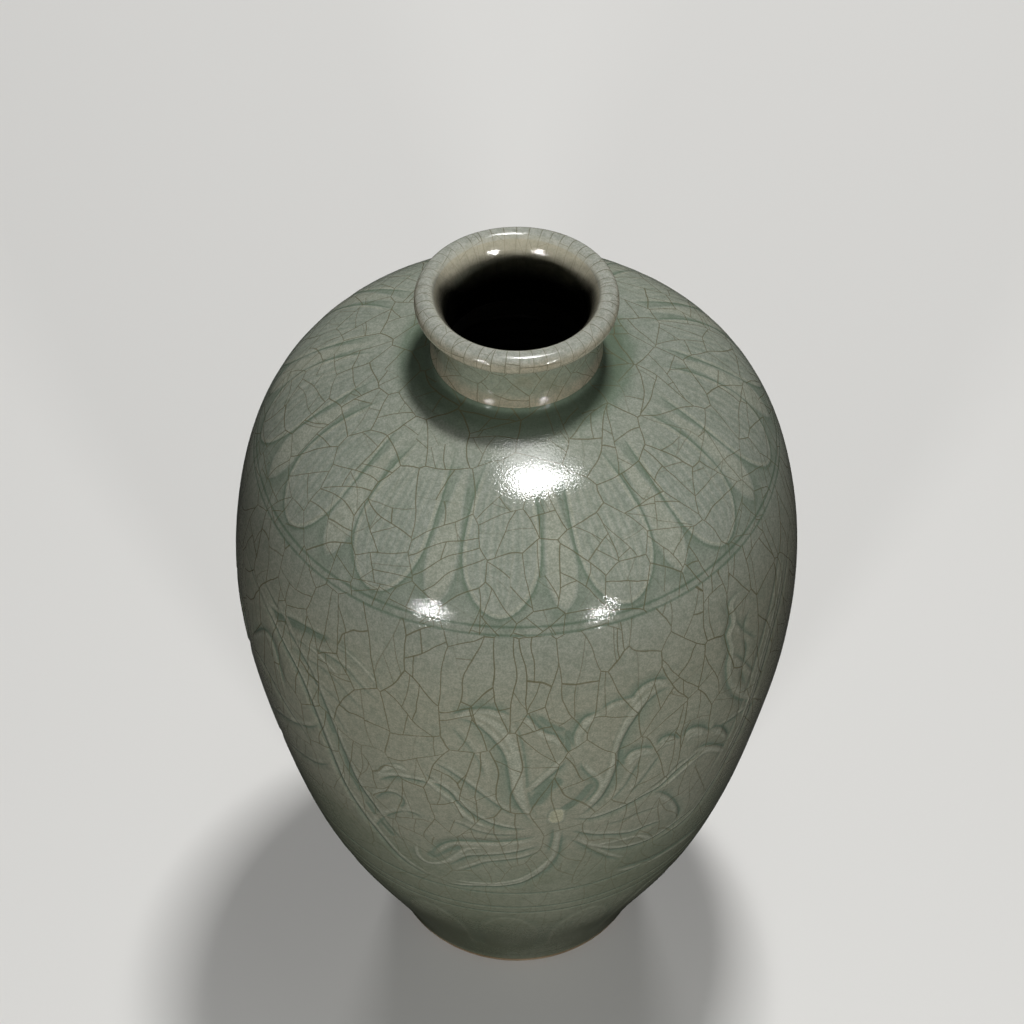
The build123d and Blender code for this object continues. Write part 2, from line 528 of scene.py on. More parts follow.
def shoulder_petals(cut, tone):
    """Cuts the petals into the shoulder, broad ones over the tips that show between them.

    The tone is above zero where the glaze pools and below it where it runs thin."""
    fade = eased(outline_length - rows_along, *petal_tone_fade)
    worn_away = eased(outline_length - rows_along, *petal_cut_fade)
    for k in range(petal_count):
        turn = wrapped(first_petal_turn + k * petal_turn_spacing + petal_drift[k])
        following = petal_drift[(k + 1) % petal_count] - petal_drift[k]
        between = turn + (petal_turn_spacing + following) / 2
        path = petal_path(hidden_petal_outline, between, hidden_petal_length, outline_length, -1)
        rows, cols, within, outside = petal_field(path, petal_valley_width)
        steps = fade[rows][:, None]
        at_cols = np.ix_(rows, cols % columns)
        outside = outside**hidden_valley_power
        depth = petal_cut_depth * worn_away[rows][:, None]
        over = np.maximum(cut[at_cols], depth * outside)
        cut[at_cols] = np.where(within > 0, hidden_petal_cut_share * depth, over)
        tone[at_cols] = np.maximum(tone[at_cols], hidden_valley_tone * outside * steps)
        tip = -hidden_petal_tone * eased(within, *hidden_petal_edge) * steps
        tone[at_cols] = np.where(within > 0.3, tip, tone[at_cols])
    for k in range(petal_count):
        turn = wrapped(first_petal_turn + k * petal_turn_spacing + petal_drift[k])
        length = petal_length + petal_reach_drift[k]
        path = petal_path(petal_outline, turn, length, outline_length, -1)
        rows, cols, within, outside = petal_field(path, petal_valley_width)
        steps = fade[rows][:, None]
        at_cols = np.ix_(rows, cols % columns)
        depth = petal_cut_depth * worn_away[rows][:, None]
        cut[at_cols] = np.where(within > 0, 0, np.maximum(cut[at_cols], depth * outside))
        near = fading_out(within, petal_shade_width)
        valley = (petal_valley_tone * outside**0.5 + petal_near_tone * near**2) * steps
        before = tone[at_cols]
        shaded = before + petal_over_tone * near**2 * steps
        over = np.where(before < 0, shaded, np.maximum(before, valley))
        across = wrapped(cols[None, :] * 360 / columns - turn)
        broad = np.interp(outline_length - rows_along[rows], *petal_breadth())[:, None]
        spread = across / broad
        wander = 1.4 * np.sin(4.1 * spread + k) + 0.7 * np.sin(9.7 * spread + 2 * k)
        streaks = np.cos(FULL_TURN * spread * petal_streaks / 2 + wander)
        rim_end = eased(within, petal_rim_width - 0.5, petal_rim_width + 0.1)
        rim = eased(within, *petal_rim_edge) * (1 - rim_end)
        line = soft_line(within - petal_rim_width - petal_inner_line_reach, petal_inner_line_width)
        streaks = petal_streak_tone * streaks * eased(within, *petal_streak_edge)
        inner = petal_inner_line_tone * line - petal_rim_tone * rim + streaks
        knife_line = soft_line(within + petal_knife_line_reach, petal_knife_line_width)
        over = over + petal_knife_line_tone * knife_line * steps
        tone[at_cols] = np.where(within > 0, inner * steps, over)


def petal_breadth():
    """Half a broad petal's width in degrees against the length down from the neck."""
    side = flowing(petal_outline, 5)
    return side[:, 1] * petal_length, np.maximum(side[:, 0], 2.5)


# Upright petals round the foot
foot_petal_count = 16
foot_petal_turn = -2.5
foot_petal_top = 77.6
foot_petal_outline = [
    (8.3, 0.0),
    (9.2, 0.3),
    (9.4, 0.5),
    (8.8, 0.68),
    (7.2, 0.82),
    (4.6, 0.93),
    (2.0, 0.985),
    (0.0, 1.0),
]
foot_petal_depth = 0.2
foot_petal_low = 3.0
foot_petal_valley_width = 6.0
foot_petal_fade = (7, 19)
foot_petal_rim_width = 1.6
foot_petal_rim_edge = (0.2, 0.7)
foot_petal_rim_tone = 0.25
foot_petal_line_reach = 2.3
foot_petal_line_width = 0.35
foot_petal_line_tone = 0.15
foot_valley_tone = 0.4


def foot_petals(cut, tone):
    """Cuts the upright petals between the foot and the lowest groove."""
    length = along_at(foot_petal_top) - foot_petal_low
    for k in range(foot_petal_count):
        turn = wrapped(foot_petal_turn + k * 360 / foot_petal_count)
        path = petal_path(foot_petal_outline, turn, length, foot_petal_low, 1)
        rows, cols, within, outside = petal_field(path, foot_petal_valley_width)
        edge = np.clip(1 - within / cut_wall, 0, 1) * (within >= 0)
        at_cols = np.ix_(rows, cols % columns)
        steps = eased(rows_along[rows], *foot_petal_fade)[:, None]
        depth = foot_petal_depth * steps
        cut[at_cols] = np.where(within > 0, depth * edge, np.maximum(cut[at_cols], depth * outside))
        rim_fade = eased(within, foot_petal_rim_width, foot_petal_rim_width + 0.6)
        rim = eased(within, *foot_petal_rim_edge) * (1 - rim_fade)
        line = soft_line(within - foot_petal_line_reach, foot_petal_line_width)
        inner = (foot_petal_line_tone * line - foot_petal_rim_tone * rim) * steps
        over = np.maximum(tone[at_cols], foot_valley_tone * outside * steps)
        tone[at_cols] = np.where(within > 0, inner, over)


# The scroll, read off the photograph in its pixels

# Each stroke: its width and depth in millimetres, the hand on which it slopes, and its points
scroll_strokes = {
    "left_curl_top": (5.0, 0.55, "left", [
        (448, 716), (458, 712), (468, 709), (485, 708), (500, 711), (513, 716),
    ]),
    "left_curl_low": (6.5, 0.6, "right", [
        (448, 717), (460, 719), (470, 722), (482, 730), (495, 743), (504, 757), (508, 775), (511, 793),
        (519, 808), (533, 824),
    ]),
    "left_curl_inner": (2.6, 0.3, "left", [
        (513, 716), (518, 730), (523, 748), (526, 768), (528, 790), (532, 808), (540, 820),
    ]),
    "left_leaf_fold": (4.0, 0.25, "right", [(448, 720), (458, 734), (470, 748), (480, 764), (486, 782)]),
    "right_curl_low": (6.5, 0.64, "left", [
        (677, 683), (662, 690), (648, 702), (637, 717), (627, 733), (620, 750), (618, 765), (610, 785),
        (600, 800), (587, 811), (575, 818),
    ]),
    "right_curl_top": (5.0, 0.5, "right", [(671, 678), (656, 679), (643, 685), (633, 696), (626, 710)]),
    "right_curl_back": (4.5, 0.4, "left", [(600, 710), (612, 702), (626, 698), (641, 694)]),
    "flame_left": (5.0, 0.55, "left", [
        (520, 716), (530, 718), (538, 726), (546, 732), (556, 735), (562, 740), (564, 748),
    ]),
    "flame_right": (5.0, 0.55, "right", [
        (601, 709), (594, 713), (584, 718), (577, 727), (573, 737), (574, 748),
    ]),
    "inner_leaf_edge": (5.0, 0.45, "right", [(529, 795), (541, 785), (554, 774), (568, 761)]),
    "stem_edge": (4.5, 0.45, "right", [
        (580, 760), (583, 769), (591, 777), (597, 782), (597, 789), (590, 798), (580, 806),
    ]),
    "lobe_one": (4.6, 0.58, "left", [(622, 764), (630, 753), (643, 748), (656, 748)]),
    "lobe_two": (4.0, 0.55, "left", [(656, 746), (663, 738), (672, 735), (681, 739)]),
    "lobe_three": (4.6, 0.58, "left", [(681, 740), (689, 730), (700, 726), (711, 730)]),
    "lobe_four": (4.0, 0.55, "left", [(708, 732), (715, 727), (723, 727), (729, 735)]),
    "lobe_row": (4.2, 0.45, "left", [(690, 755), (701, 747), (712, 744), (727, 746)]),
    "lobe_vein": (4.0, 0.6, "left", [
        (706, 744), (692, 758), (676, 772), (660, 787), (644, 796), (630, 804), (610, 813), (590, 819),
        (570, 818),
    ]),
    "lobe_inner_one": (2.6, 0.3, "left", [(690, 757), (679, 764), (664, 779), (648, 790)]),
    "lobe_inner_two": (2.6, 0.3, "left", [(662, 752), (652, 766), (641, 781), (628, 796)]),
    "lobe_inner_three": (2.6, 0.3, "left", [(642, 757), (634, 771), (624, 787), (608, 804)]),
    "right_leaf_end": (3.6, 0.4, "left", [(646, 797), (660, 792), (673, 799), (679, 812), (672, 824)]),
    "right_leaf_low": (3.4, 0.55, "right", [
        (570, 830), (590, 835), (610, 835), (630, 833), (648, 826), (664, 820),
    ]),
    "right_leaf_vein": (2.4, 0.25, "right", [(600, 826), (620, 821), (642, 812), (662, 806)]),
    "right_sweep_low": (4.0, 0.55, "right", [
        (572, 842), (590, 847), (610, 850), (630, 847), (650, 840), (666, 830), (684, 816), (698, 804),
    ]),
    "left_leaf_top": (4.4, 0.6, "right", [
        (420, 769), (434, 781), (450, 793), (458, 803), (468, 811), (480, 819), (494, 825), (512, 829),
        (530, 829),
    ]),
    "left_leaf_high": (4.4, 0.4, "right", [
        (430, 760), (444, 768), (456, 776), (470, 786), (486, 798), (502, 809), (518, 818),
    ]),
    "left_leaf_mid": (3.4, 0.3, "right", [(446, 820), (460, 824), (476, 831), (496, 835), (520, 835)]),
    "left_leaf_low": (4.2, 0.6, "left", [
        (430, 854), (436, 848), (446, 843), (460, 841), (480, 842), (500, 842), (520, 840), (540, 835),
    ]),
    "curl_second": (3.4, 0.45, "right", [
        (446, 866), (456, 862), (468, 857), (482, 856), (500, 855), (520, 852), (542, 845),
    ]),
    "curl_third": (3.2, 0.4, "right", [
        (456, 872), (470, 868), (486, 863), (504, 861), (524, 858), (544, 850),
    ]),
    "bottom_sweep_edge": (3.4, 0.5, "right", [
        (440, 882), (462, 886), (482, 887), (502, 887), (523, 883), (540, 874), (552, 863), (560, 850),
    ]),
    "bottom_stem_left": (2.4, 0.4, "right", [(553, 828), (552, 840), (548, 852)]),
    "bottom_stem_right": (3.0, 0.4, "left", [(562, 830), (561, 842), (558, 856), (550, 868), (536, 878)]),
    "bottom_leaf_top": (3.4, 0.4, "right", [(566, 838), (578, 843), (590, 850), (604, 856), (622, 860)]),
    "bottom_tail": (3.4, 0.4, "left", [
        (612, 869), (630, 866), (650, 859), (668, 849), (684, 838), (700, 824),
    ]),
    "long_stem_left": (2.6, 0.55, "right", [
        (243, 540), (255, 580), (270, 614), (284, 645), (299, 674), (311, 702), (322, 730), (334, 760),
        (345, 785), (362, 812), (381, 836), (400, 857), (424, 873), (450, 884),
    ]),
    "long_stem_right": (5.5, 0.45, "right", [
        (257, 566), (269, 592), (283, 619), (296, 645), (311, 672), (323, 700), (334, 728), (346, 757),
        (357, 781), (374, 806), (392, 829), (412, 850),
    ]),
    "blade_one": (6.5, 0.66, "right", [
        (264, 600), (276, 613), (290, 619), (302, 625), (316, 633), (334, 641),
    ]),
    "blade_two": (3.4, 0.3, "right", [
        (276, 620), (292, 637), (310, 647), (327, 655), (345, 668), (358, 682), (370, 694), (386, 706),
    ]),
    "blade_three": (2.8, 0.22, "right", [
        (284, 636), (300, 654), (317, 665), (332, 677), (345, 691), (357, 704), (372, 716),
    ]),
    "blade_four": (2.8, 0.22, "right", [
        (296, 660), (309, 674), (322, 686), (335, 698), (347, 711), (356, 724),
    ]),
    "blade_five": (2.6, 0.22, "right", [(306, 680), (319, 694), (330, 708), (340, 722), (348, 738)]),
    "bud_stem": (3.0, 0.5, "right", [(378, 780), (394, 777), (413, 780), (436, 785), (450, 792)]),
    "left_low_one": (3.4, 0.35, "right", [(372, 830), (384, 818), (400, 812), (416, 814), (428, 822)]),
    "left_low_two": (3.2, 0.35, "right", [(374, 800), (384, 793), (396, 794), (404, 802), (398, 812)]),
    "side_leaf_outer": (3.4, 0.42, "right", [
        (744, 588), (734, 596), (728, 608), (731, 622), (726, 636), (729, 650), (726, 668), (729, 688),
        (740, 694), (753, 695),
    ]),
    "side_leaf_vein": (2.6, 0.35, "both", [(752, 604), (744, 626), (746, 650), (742, 672), (746, 686)]),
    "side_leaf_notch": (2.6, 0.3, "left", [(735, 618), (744, 630), (756, 638)]),
    "side_leaf_notch_two": (2.6, 0.3, "left", [(733, 652), (743, 660), (755, 672)]),
    "side_leaf_foot": (3.6, 0.45, "right", [(728, 693), (742, 700), (756, 700)]),
    "side_leaf_low": (3.4, 0.45, "left", [(756, 700), (742, 712), (728, 722), (716, 730)]),
    "side_stem": (3.0, 0.4, "left", [
        (788, 522), (787, 560), (780, 602), (770, 640), (760, 676), (748, 712), (732, 748), (712, 784),
        (690, 815), (660, 838), (628, 853),
    ]),
    "side_stem_back": (2.4, 0.3, "right", [
        (779, 530), (778, 562), (771, 604), (761, 642), (751, 677), (739, 711), (723, 746), (704, 780),
    ]),
    "far_left_leaf": (4.0, 0.45, "left", [
        (252, 634), (262, 629), (270, 636), (276, 652), (281, 672), (287, 692),
    ]),
    "far_left_leaf_two": (3.6, 0.4, "right", [
        (256, 650), (266, 668), (276, 688), (286, 706), (298, 724), (310, 740),
    ]),
    "far_left_curl": (3.6, 0.4, "right", [(268, 700), (280, 714), (296, 724), (312, 727), (322, 722)]),
    "far_left_low": (3.4, 0.35, "right", [(290, 744), (304, 756), (318, 764), (330, 764)]),
}
# Each ridge: its width and its points
scroll_ridges = {
    "left_curl_crest": (3.4, [
        (456, 717), (474, 716), (492, 722), (506, 735), (515, 753), (518, 775), (521, 796), (530, 812),
    ]),
    "right_curl_crest": (2.4, [
        (675, 681), (659, 687), (644, 698), (632, 713), (623, 729), (616, 747), (613, 764), (605, 782),
        (595, 797), (582, 809),
    ]),
    "flame_left_crest": (2.0, [(521, 720), (530, 724), (538, 732), (548, 738), (557, 742), (560, 750)]),
    "flame_right_crest": (2.2, [(598, 717), (588, 723), (580, 732), (578, 742), (581, 752)]),
    "inner_leaf_crest": (2.4, [(527, 791), (539, 781), (552, 770), (567, 756)]),
    "stem_crest": (2.0, [
        (584, 758), (586, 766), (592, 772), (600, 778), (602, 786), (597, 795), (588, 805), (577, 813),
    ]),
    "lobe_one_crest": (2.2, [(627, 768), (635, 758), (646, 753), (656, 753)]),
    "lobe_two_crest": (2.0, [(659, 750), (666, 743), (677, 742)]),
    "lobe_three_crest": (2.2, [(685, 743), (693, 735), (705, 733)]),
    "lobe_four_crest": (2.0, [(711, 737), (719, 732), (726, 737)]),
    "vein_crest": (2.2, [(726, 751), (713, 749), (701, 754), (686, 767), (668, 783), (650, 796)]),
    "side_stem_crest": (1.6, [
        (784, 524), (783, 560), (776, 602), (766, 640), (756, 676), (744, 712), (728, 748), (708, 784),
    ]),
    "right_sweep_crest": (2.0, [(588, 846), (606, 843), (624, 839), (640, 836), (654, 839)]),
    "left_leaf_crest": (2.2, [
        (396, 778), (412, 777), (426, 781), (440, 791), (452, 801), (466, 816), (482, 825), (500, 831),
    ]),
    "curl_crest": (2.0, [
        (418, 840), (417, 851), (424, 860), (436, 863), (448, 860), (458, 854), (467, 849), (480, 848),
        (496, 850),
    ]),
    "bottom_sweep": (2.2, [
        (446, 878), (462, 881), (480, 883), (500, 883), (520, 879), (536, 871), (548, 861), (557, 849),
    ]),
    "long_stem_crest": (1.8, [
        (247, 552), (259, 590), (273, 619), (286, 645), (302, 674), (314, 702), (325, 729), (337, 760),
        (347, 784), (364, 810), (383, 834), (402, 855), (424, 870), (446, 880), (470, 887),
    ]),
    "blade_crest": (1.3, [(300, 640), (316, 652), (330, 666), (343, 681)]),
    "blade_crest_two": (1.3, [(330, 642), (346, 651), (360, 664), (374, 680), (382, 692)]),
    "bud_crest": (2.4, [(377, 776), (384, 769), (393, 766), (402, 768), (410, 773)]),
    "side_leaf_crest": (1.2, [
        (741, 592), (733, 604), (735, 621), (730, 636), (733, 651), (730, 669), (733, 686),
    ]),
}
# Each pool of glaze: its width and its points
scroll_pools = {
    "flame_cleft": (3.4, [(568, 733), (568, 750)]),
    "flame_hollow": (3.6, [(541, 719), (552, 727), (562, 730)]),
    "inner_pool": (9.0, [(537, 801), (546, 789), (555, 783)]),
    "inner_pool_right": (5.5, [(566, 808), (578, 800), (590, 787)]),
    "lobe_pool": (3.4, [(621, 752), (623, 764)]),
    "curl_pool": (6.0, [(432, 855), (444, 850), (456, 847)]),
    "blade_one_pool": (7.0, [(272, 612), (290, 621), (306, 628), (322, 636)]),
    "valley_one": (3.0, [(327, 716), (333, 732)]),
    "valley_two": (3.6, [(344, 752), (350, 772), (360, 790)]),
    "valley_three": (3.6, [(368, 804), (378, 818), (392, 834)]),
}
# The hub of the flower
hub = [(557, 813), (556, 819)]
hub_width = 6.2

# A spray of leaves at each side, in degrees round the vase and millimetres up its outline
spray_strokes = {
    "stem": (3.4, 0.5, "right", [(106, 112), (99, 127), (94, 146), (92, 165), (94, 184), (93, 200)]),
    "left_leaf": (4.6, 0.5, "left", [(93, 150), (86, 157), (80, 167), (78, 179), (81, 189), (86, 193)]),
    "left_vein": (2.6, 0.3, "left", [(92, 153), (87, 163), (84, 175), (84, 186)]),
    "right_leaf": (4.6, 0.5, "right", [
        (92, 165), (99, 169), (105, 178), (107, 190), (104, 200), (99, 203),
    ]),
    "right_vein": (2.6, 0.3, "right", [(93, 168), (98, 176), (101, 186), (101, 197)]),
    "bud_left": (3.4, 0.45, "left", [(93, 198), (88, 203), (87, 211), (92, 219)]),
    "bud_right": (3.4, 0.45, "right", [(93, 198), (97, 203), (98, 211), (93, 219)]),
    "low_leaf": (4.2, 0.45, "right", [(101, 122), (107, 126), (112, 135), (111, 146), (106, 150)]),
    "tendril": (3.4, 0.45, "left", [(97, 132), (90, 131), (83, 135), (79, 144)]),
}
spray_stem_ridge = [(104, 114), (97, 129), (92.6, 147), (90.8, 165), (92.6, 184), (92, 198)]
spray_stem_ridge_width = 1.8


def scroll():
    """The scroll round the front, and again round the back, with a spray at each side."""
    work = Carving()
    for width, depth, slope, path in spray_strokes.values():
        carve(work, flowing(path), width, depth, slope)
    ridge(work, flowing(spray_stem_ridge), spray_stem_ridge_width)
    for width, pixels in scroll_pools.values():
        pool(work, flowing(on_the_vase(pixels)), width)
    for width, depth, slope, pixels in scroll_strokes.values():
        carve(work, flowing(on_the_vase(pixels)), width, depth, slope)
    for width, pixels in scroll_ridges.values():
        ridge(work, flowing(on_the_vase(pixels)), width)
    ridge(work, flowing(on_the_vase(hub)), hub_width, tapered=False)
    for field in (work.cut, work.raised, work.pooled, work.thinned):
        np.maximum(field, np.roll(field, columns // 2, axis=1), out=field)
    return work


def grooves(cut):
    """The turned grooves: a pair on the shoulder, one under the scroll and a pair over the foot."""
    shoulder_groove = belly_height + neck_foot_rise * shoulder_rise_share - shoulder_groove_drop
    calf_height = heel_height + belly_rise * calf_rise_share
    base_groove = calf_height + base_groove_rise
    heights = [
        shoulder_groove,
        shoulder_groove + shoulder_groove_gap,
        calf_height + scroll_groove_rise,
        base_groove,
        base_groove - base_groove_gap,
    ]
    for height in heights:
        sway = groove_sway * np.sin(np.radians(turns * 2 + height * 7))
        sway += groove_second_sway * np.sin(np.radians(turns * 5 + height * 3))
        gap = np.abs(rows_along[:, None] - along_at(height) - sway[None, :])
        np.maximum(cut, groove_depth * np.clip(1 - gap / (groove_width * 0.4), 0, 1), out=cut)


# How far the grooves wander, how much of their depth the glaze leaves open, and the limits of cut and pool
groove_sway = 0.35
groove_second_sway = 0.2
open_share_on_shoulder = 0.15
open_share_on_wall = 0.6
deepest_cut = 0.68
thickest_pool = 1.8
groove_pool = 1.5

# Over how many rows and columns of the grid each is blurred
petal_blur = 2.0
cut_blur = 1.0
ridge_blur = 0.8
pool_blur = 0.5

petals_cut = blank()
tone = blank()
shoulder_petals(petals_cut, tone)
foot_petals(petals_cut, tone)
lines = scroll()
turned = blank()
grooves(turned)
above_belly = rows_along > along_at(belly_height)
groove_share = np.where(above_belly, open_share_on_shoulder, open_share_on_wall)[:, None]
deepest = np.maximum(lines.cut * (1 - lines.raised / ridge_rise), turned * groove_share)
deepest = np.maximum(deepest, softened(petals_cut, petal_blur))
worn = np.minimum(softened(deepest, cut_blur), deepest_cut) - softened(lines.raised, ridge_blur)
drawn = lines.pooled * (1 - lines.thinned) - lines.thinned
pooled = softened(tone + drawn + groove_pool * turned / groove_depth, pool_blur)
pool_depth = np.clip(pooled, -1, thickest_pool)
# The hub of the flower is rubbed nearly bare
at_hub, from_hub, _, _ = followed(flowing(on_the_vase(hub)), hub_width)
bare_hub = eased(1 - from_hub / (hub_width * 0.5), 0, 0.3)
pool_depth[at_hub] = pool_depth[at_hub] * (1 - bare_hub) - 2 * bare_hub

rng = np.random.default_rng(11)
body_unevenness = 0.16
neck_unevenness = 0.14
base_unevenness = 0.12


def uneven(rows, cols, waves, size):
    """A gentle unevenness from the wheel and the hand, in millimetres."""
    turn = np.arange(cols) * FULL_TURN / cols
    up = np.linspace(0, 1, rows)
    field = np.zeros((rows, cols))
    for _ in range(waves):
        round_count = int(rng.integers(1, 7))
        up_count = rng.uniform(0.5, 7)
        phase = rng.uniform(0, FULL_TURN, 2)
        strength = rng.uniform(0.3, 1) / (round_count + up_count)
        upward = np.sin(up * up_count * FULL_TURN + phase[0])
        field += strength * np.outer(upward, np.ones(cols)) * np.sin(round_count * turn + phase[1])
    return field * size / np.abs(field).max()


def turned_points(path, count, lift=None):
    """A section's path turned about the axis, each point lifted out of the surface, as rows of points."""
    turn = np.arange(count) * FULL_TURN / count
    radius = np.repeat(path[:, 0][:, None], count, 1)
    height = np.repeat(path[:, 1][:, None], count, 1)
    if lift is not None:
        out = outward(path)
        radius = radius + lift * out[:, 0][:, None]
        height = height + lift * out[:, 1][:, None]
    return np.stack([radius * np.sin(turn), -radius * np.cos(turn), height], 2)


uv_margin = 0.002


def ring_mesh(name, grid, flip=False):
    """A smooth mesh on rows of points that go once round the axis, closed into a tube of that section."""
    rows, cols, _ = grid.shape
    i = np.arange(rows)[:, None]
    j = np.arange(cols)[None, :]
    up = (i + 1) % rows
    right = (j + 1) % cols
    corners = [i * cols + j, i * cols + right, up * cols + right, up * cols + j]
    if flip:
        corners.reverse()
    faces = np.stack([np.broadcast_to(c, (rows, cols)) for c in corners], 2).reshape(-1, 4)
    mesh = bpy.data.meshes.new(name)
    mesh.vertices.add(rows * cols)
    mesh.vertices.foreach_set("co", (grid * MM).astype(np.float32).ravel())
    mesh.loops.add(faces.size)
    mesh.loops.foreach_set("vertex_index", faces.astype(np.int32).ravel())
    mesh.polygons.add(len(faces))
    mesh.polygons.foreach_set("loop_start", np.arange(0, faces.size, 4, dtype=np.int32))
    mesh.update(calc_edges=True)
    mesh.polygons.foreach_set("use_smooth", np.ones(len(faces), bool))
    across = [j, j + 1, j + 1, j]
    along = [i, i, i + 1, i + 1]
    if flip:
        across.reverse()
        along.reverse()
    uv = np.stack(
        [
            np.stack([np.broadcast_to(a / cols, (rows, cols)) for a in across], 2),
            np.stack([np.broadcast_to(b / rows, (rows, cols)) for b in along], 2),
        ],
        3,
    ).reshape(-1, 2)
    layer = mesh.uv_layers.new(name="OFBake")
    layer.uv.foreach_set("vector", (uv_margin + (1 - 2 * uv_margin) * uv).astype(np.float32).ravel())
    piece = bpy.data.objects.new(name, mesh)
    bpy.context.scene.collection.objects.link(piece)
    return piece


def note(piece, name, values):
    """Keeps a number for each point of a piece, for its glaze to read."""
    kept = piece.data.attributes.new(name, "FLOAT", "POINT")
    kept.data.foreach_set("value", np.asarray(values, np.float32).ravel())


def note_rows(piece, name, values, count):
    """Keeps a number for each row of a piece's points, so many to a row."""
    note(piece, name, np.repeat(values[:, None], count, 1))


def fitted(piece, slot_name, *nodes):
    """A piece that stands for these solids of the CAD, which it hides. The slot's name is not used."""
    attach(piece, "root")
    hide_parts(*nodes)
    return piece


# The swell where the body's glaze ends: how far outside the seam, and how far over the foot of the neck
swell_reach = 0.8
swell_points = [(2.2, 0.55), (1.15, 1.2)]
swell_drop = 0.15
# How far from the neck the pool deepens: pooled glaze, and beyond it painted shade under the lip
neck_pool_shade_reach = 16


def body_glaze():
    """The thick coat over the body, with the carving under it and its lower edge rolled over the foot."""
    skirt_rows = 20
    swell_rows = 16
    inner_rows = 48
    edge = glaze_thickness / 2
    skirt_low = bare_edge_height + edge
    roll = [
        (foot_radius - edge + edge * math.cos(a), skirt_low + edge * math.sin(a))
        for a in np.radians([-90, -60, -30, 0])
    ]
    skirt = [
        (foot_radius + heel_overhang * t**1.15, skirt_low + (heel_height - skirt_low) * t)
        for t in np.linspace(0, 1, skirt_rows)[1:-1]
    ]
    body = evenly(outline, relief_rows)
    swell = smooth_curve(
        [
            (neck_foot_radius, neck_foot_height),
            *((seam_radius + reach, neck_foot_height + rise) for reach, rise in swell_points),
            (seam_radius + swell_reach, seam_height - swell_drop),
        ],
        (-1, collar_lean_share),
        (-0.1, 1),
        swell_rows,
    )[1:]
    swell = np.concatenate([swell, [(seam_radius + swell_reach, seam_height), (seam_radius, seam_height)]])
    path = np.concatenate([np.array(roll + skirt), body, swell])
    start = len(roll) + len(skirt)
    end = start + relief_rows
    lift = np.zeros((len(path), columns))
    lift[start:end] = -worn
    lift += uneven(len(path), columns, 14, body_unevenness)
    lift[-1] = 0
    lift[: len(roll)] = 0
    pool = np.zeros((len(path), columns))
    # Near the neck and over the swell the pool is deepened: glaze pooled at the foot of the neck, and
    # painted shade under the lip
    near_neck = eased(rows_along - outline_length, -neck_pool_shade_reach, 0)[:, None]
    pool[:start] = pool_depth[0]
    pool[start:end] = pool_depth + thickest_pool * near_neck**1.5
    pool[end:] = thickest_pool
    outer = turned_points(path, columns, lift)
    # The clay's side of the coat goes back down inside it
    inner_path = np.concatenate(
        [
            [(foot_radius - glaze_thickness, skirt_low)],
            evenly(path[start - 3 : end], inner_rows),
            path[end:],
        ]
    )
    inner_lift = np.full((len(inner_path), columns), -glaze_thickness)
    inner_lift[0] = 0
    inner_lift[1:3] *= 0.9
    inner = turned_points(inner_path[::-1], columns, -inner_lift[::-1])
    piece = ring_mesh("carved_celadon_body_glaze", np.concatenate([outer, inner]))
    blank_rows = np.zeros((len(inner_path), columns))
    note(piece, "pool", np.concatenate([pool, blank_rows]))
    climbed = np.concatenate([lengths_along(path), lengths_along(inner_path)[::-1]])
    note_rows(piece, "along", climbed, columns)
    note_rows(piece, "from_axis", neck_foot_radius + climbed[end - 1] - climbed, columns)
    return fitted(piece, "celadon_glaze", "body_glaze")


# The neck's glaze, each point set out from the seam, the waist or the throat: how far out, and how far up
neck_edge_reach = 0.7
neck_edge_rise = 0.6
neck_edge_rows = 5
above_seam = (0.08, 1.9)
below_waist = [(0.42, 3.4), (0.1, 5.6)]
throat_points = [(2.7, 8.25), (1.53, 6.04), (0.67, 3.69), (0.15, 1.24)]
throat_drop = 1.5
row_gap = 0.1
# The rolled lip goes from its underside, where it leaves the neck, over the top and into the throat
roll_start = -92
roll_end = 140
roll_meets_neck_shares = (0.2, 0.98)
lip_crest = (5, 60)
throat_begins = (100, 145)


def rolled(radius, degrees):
    """Points round the middle of the rolled lip."""
    turn = np.radians(degrees)
    return np.array([lip_ring_radius, lip_height]) + radius * np.stack([np.cos(turn), np.sin(turn)], 1)


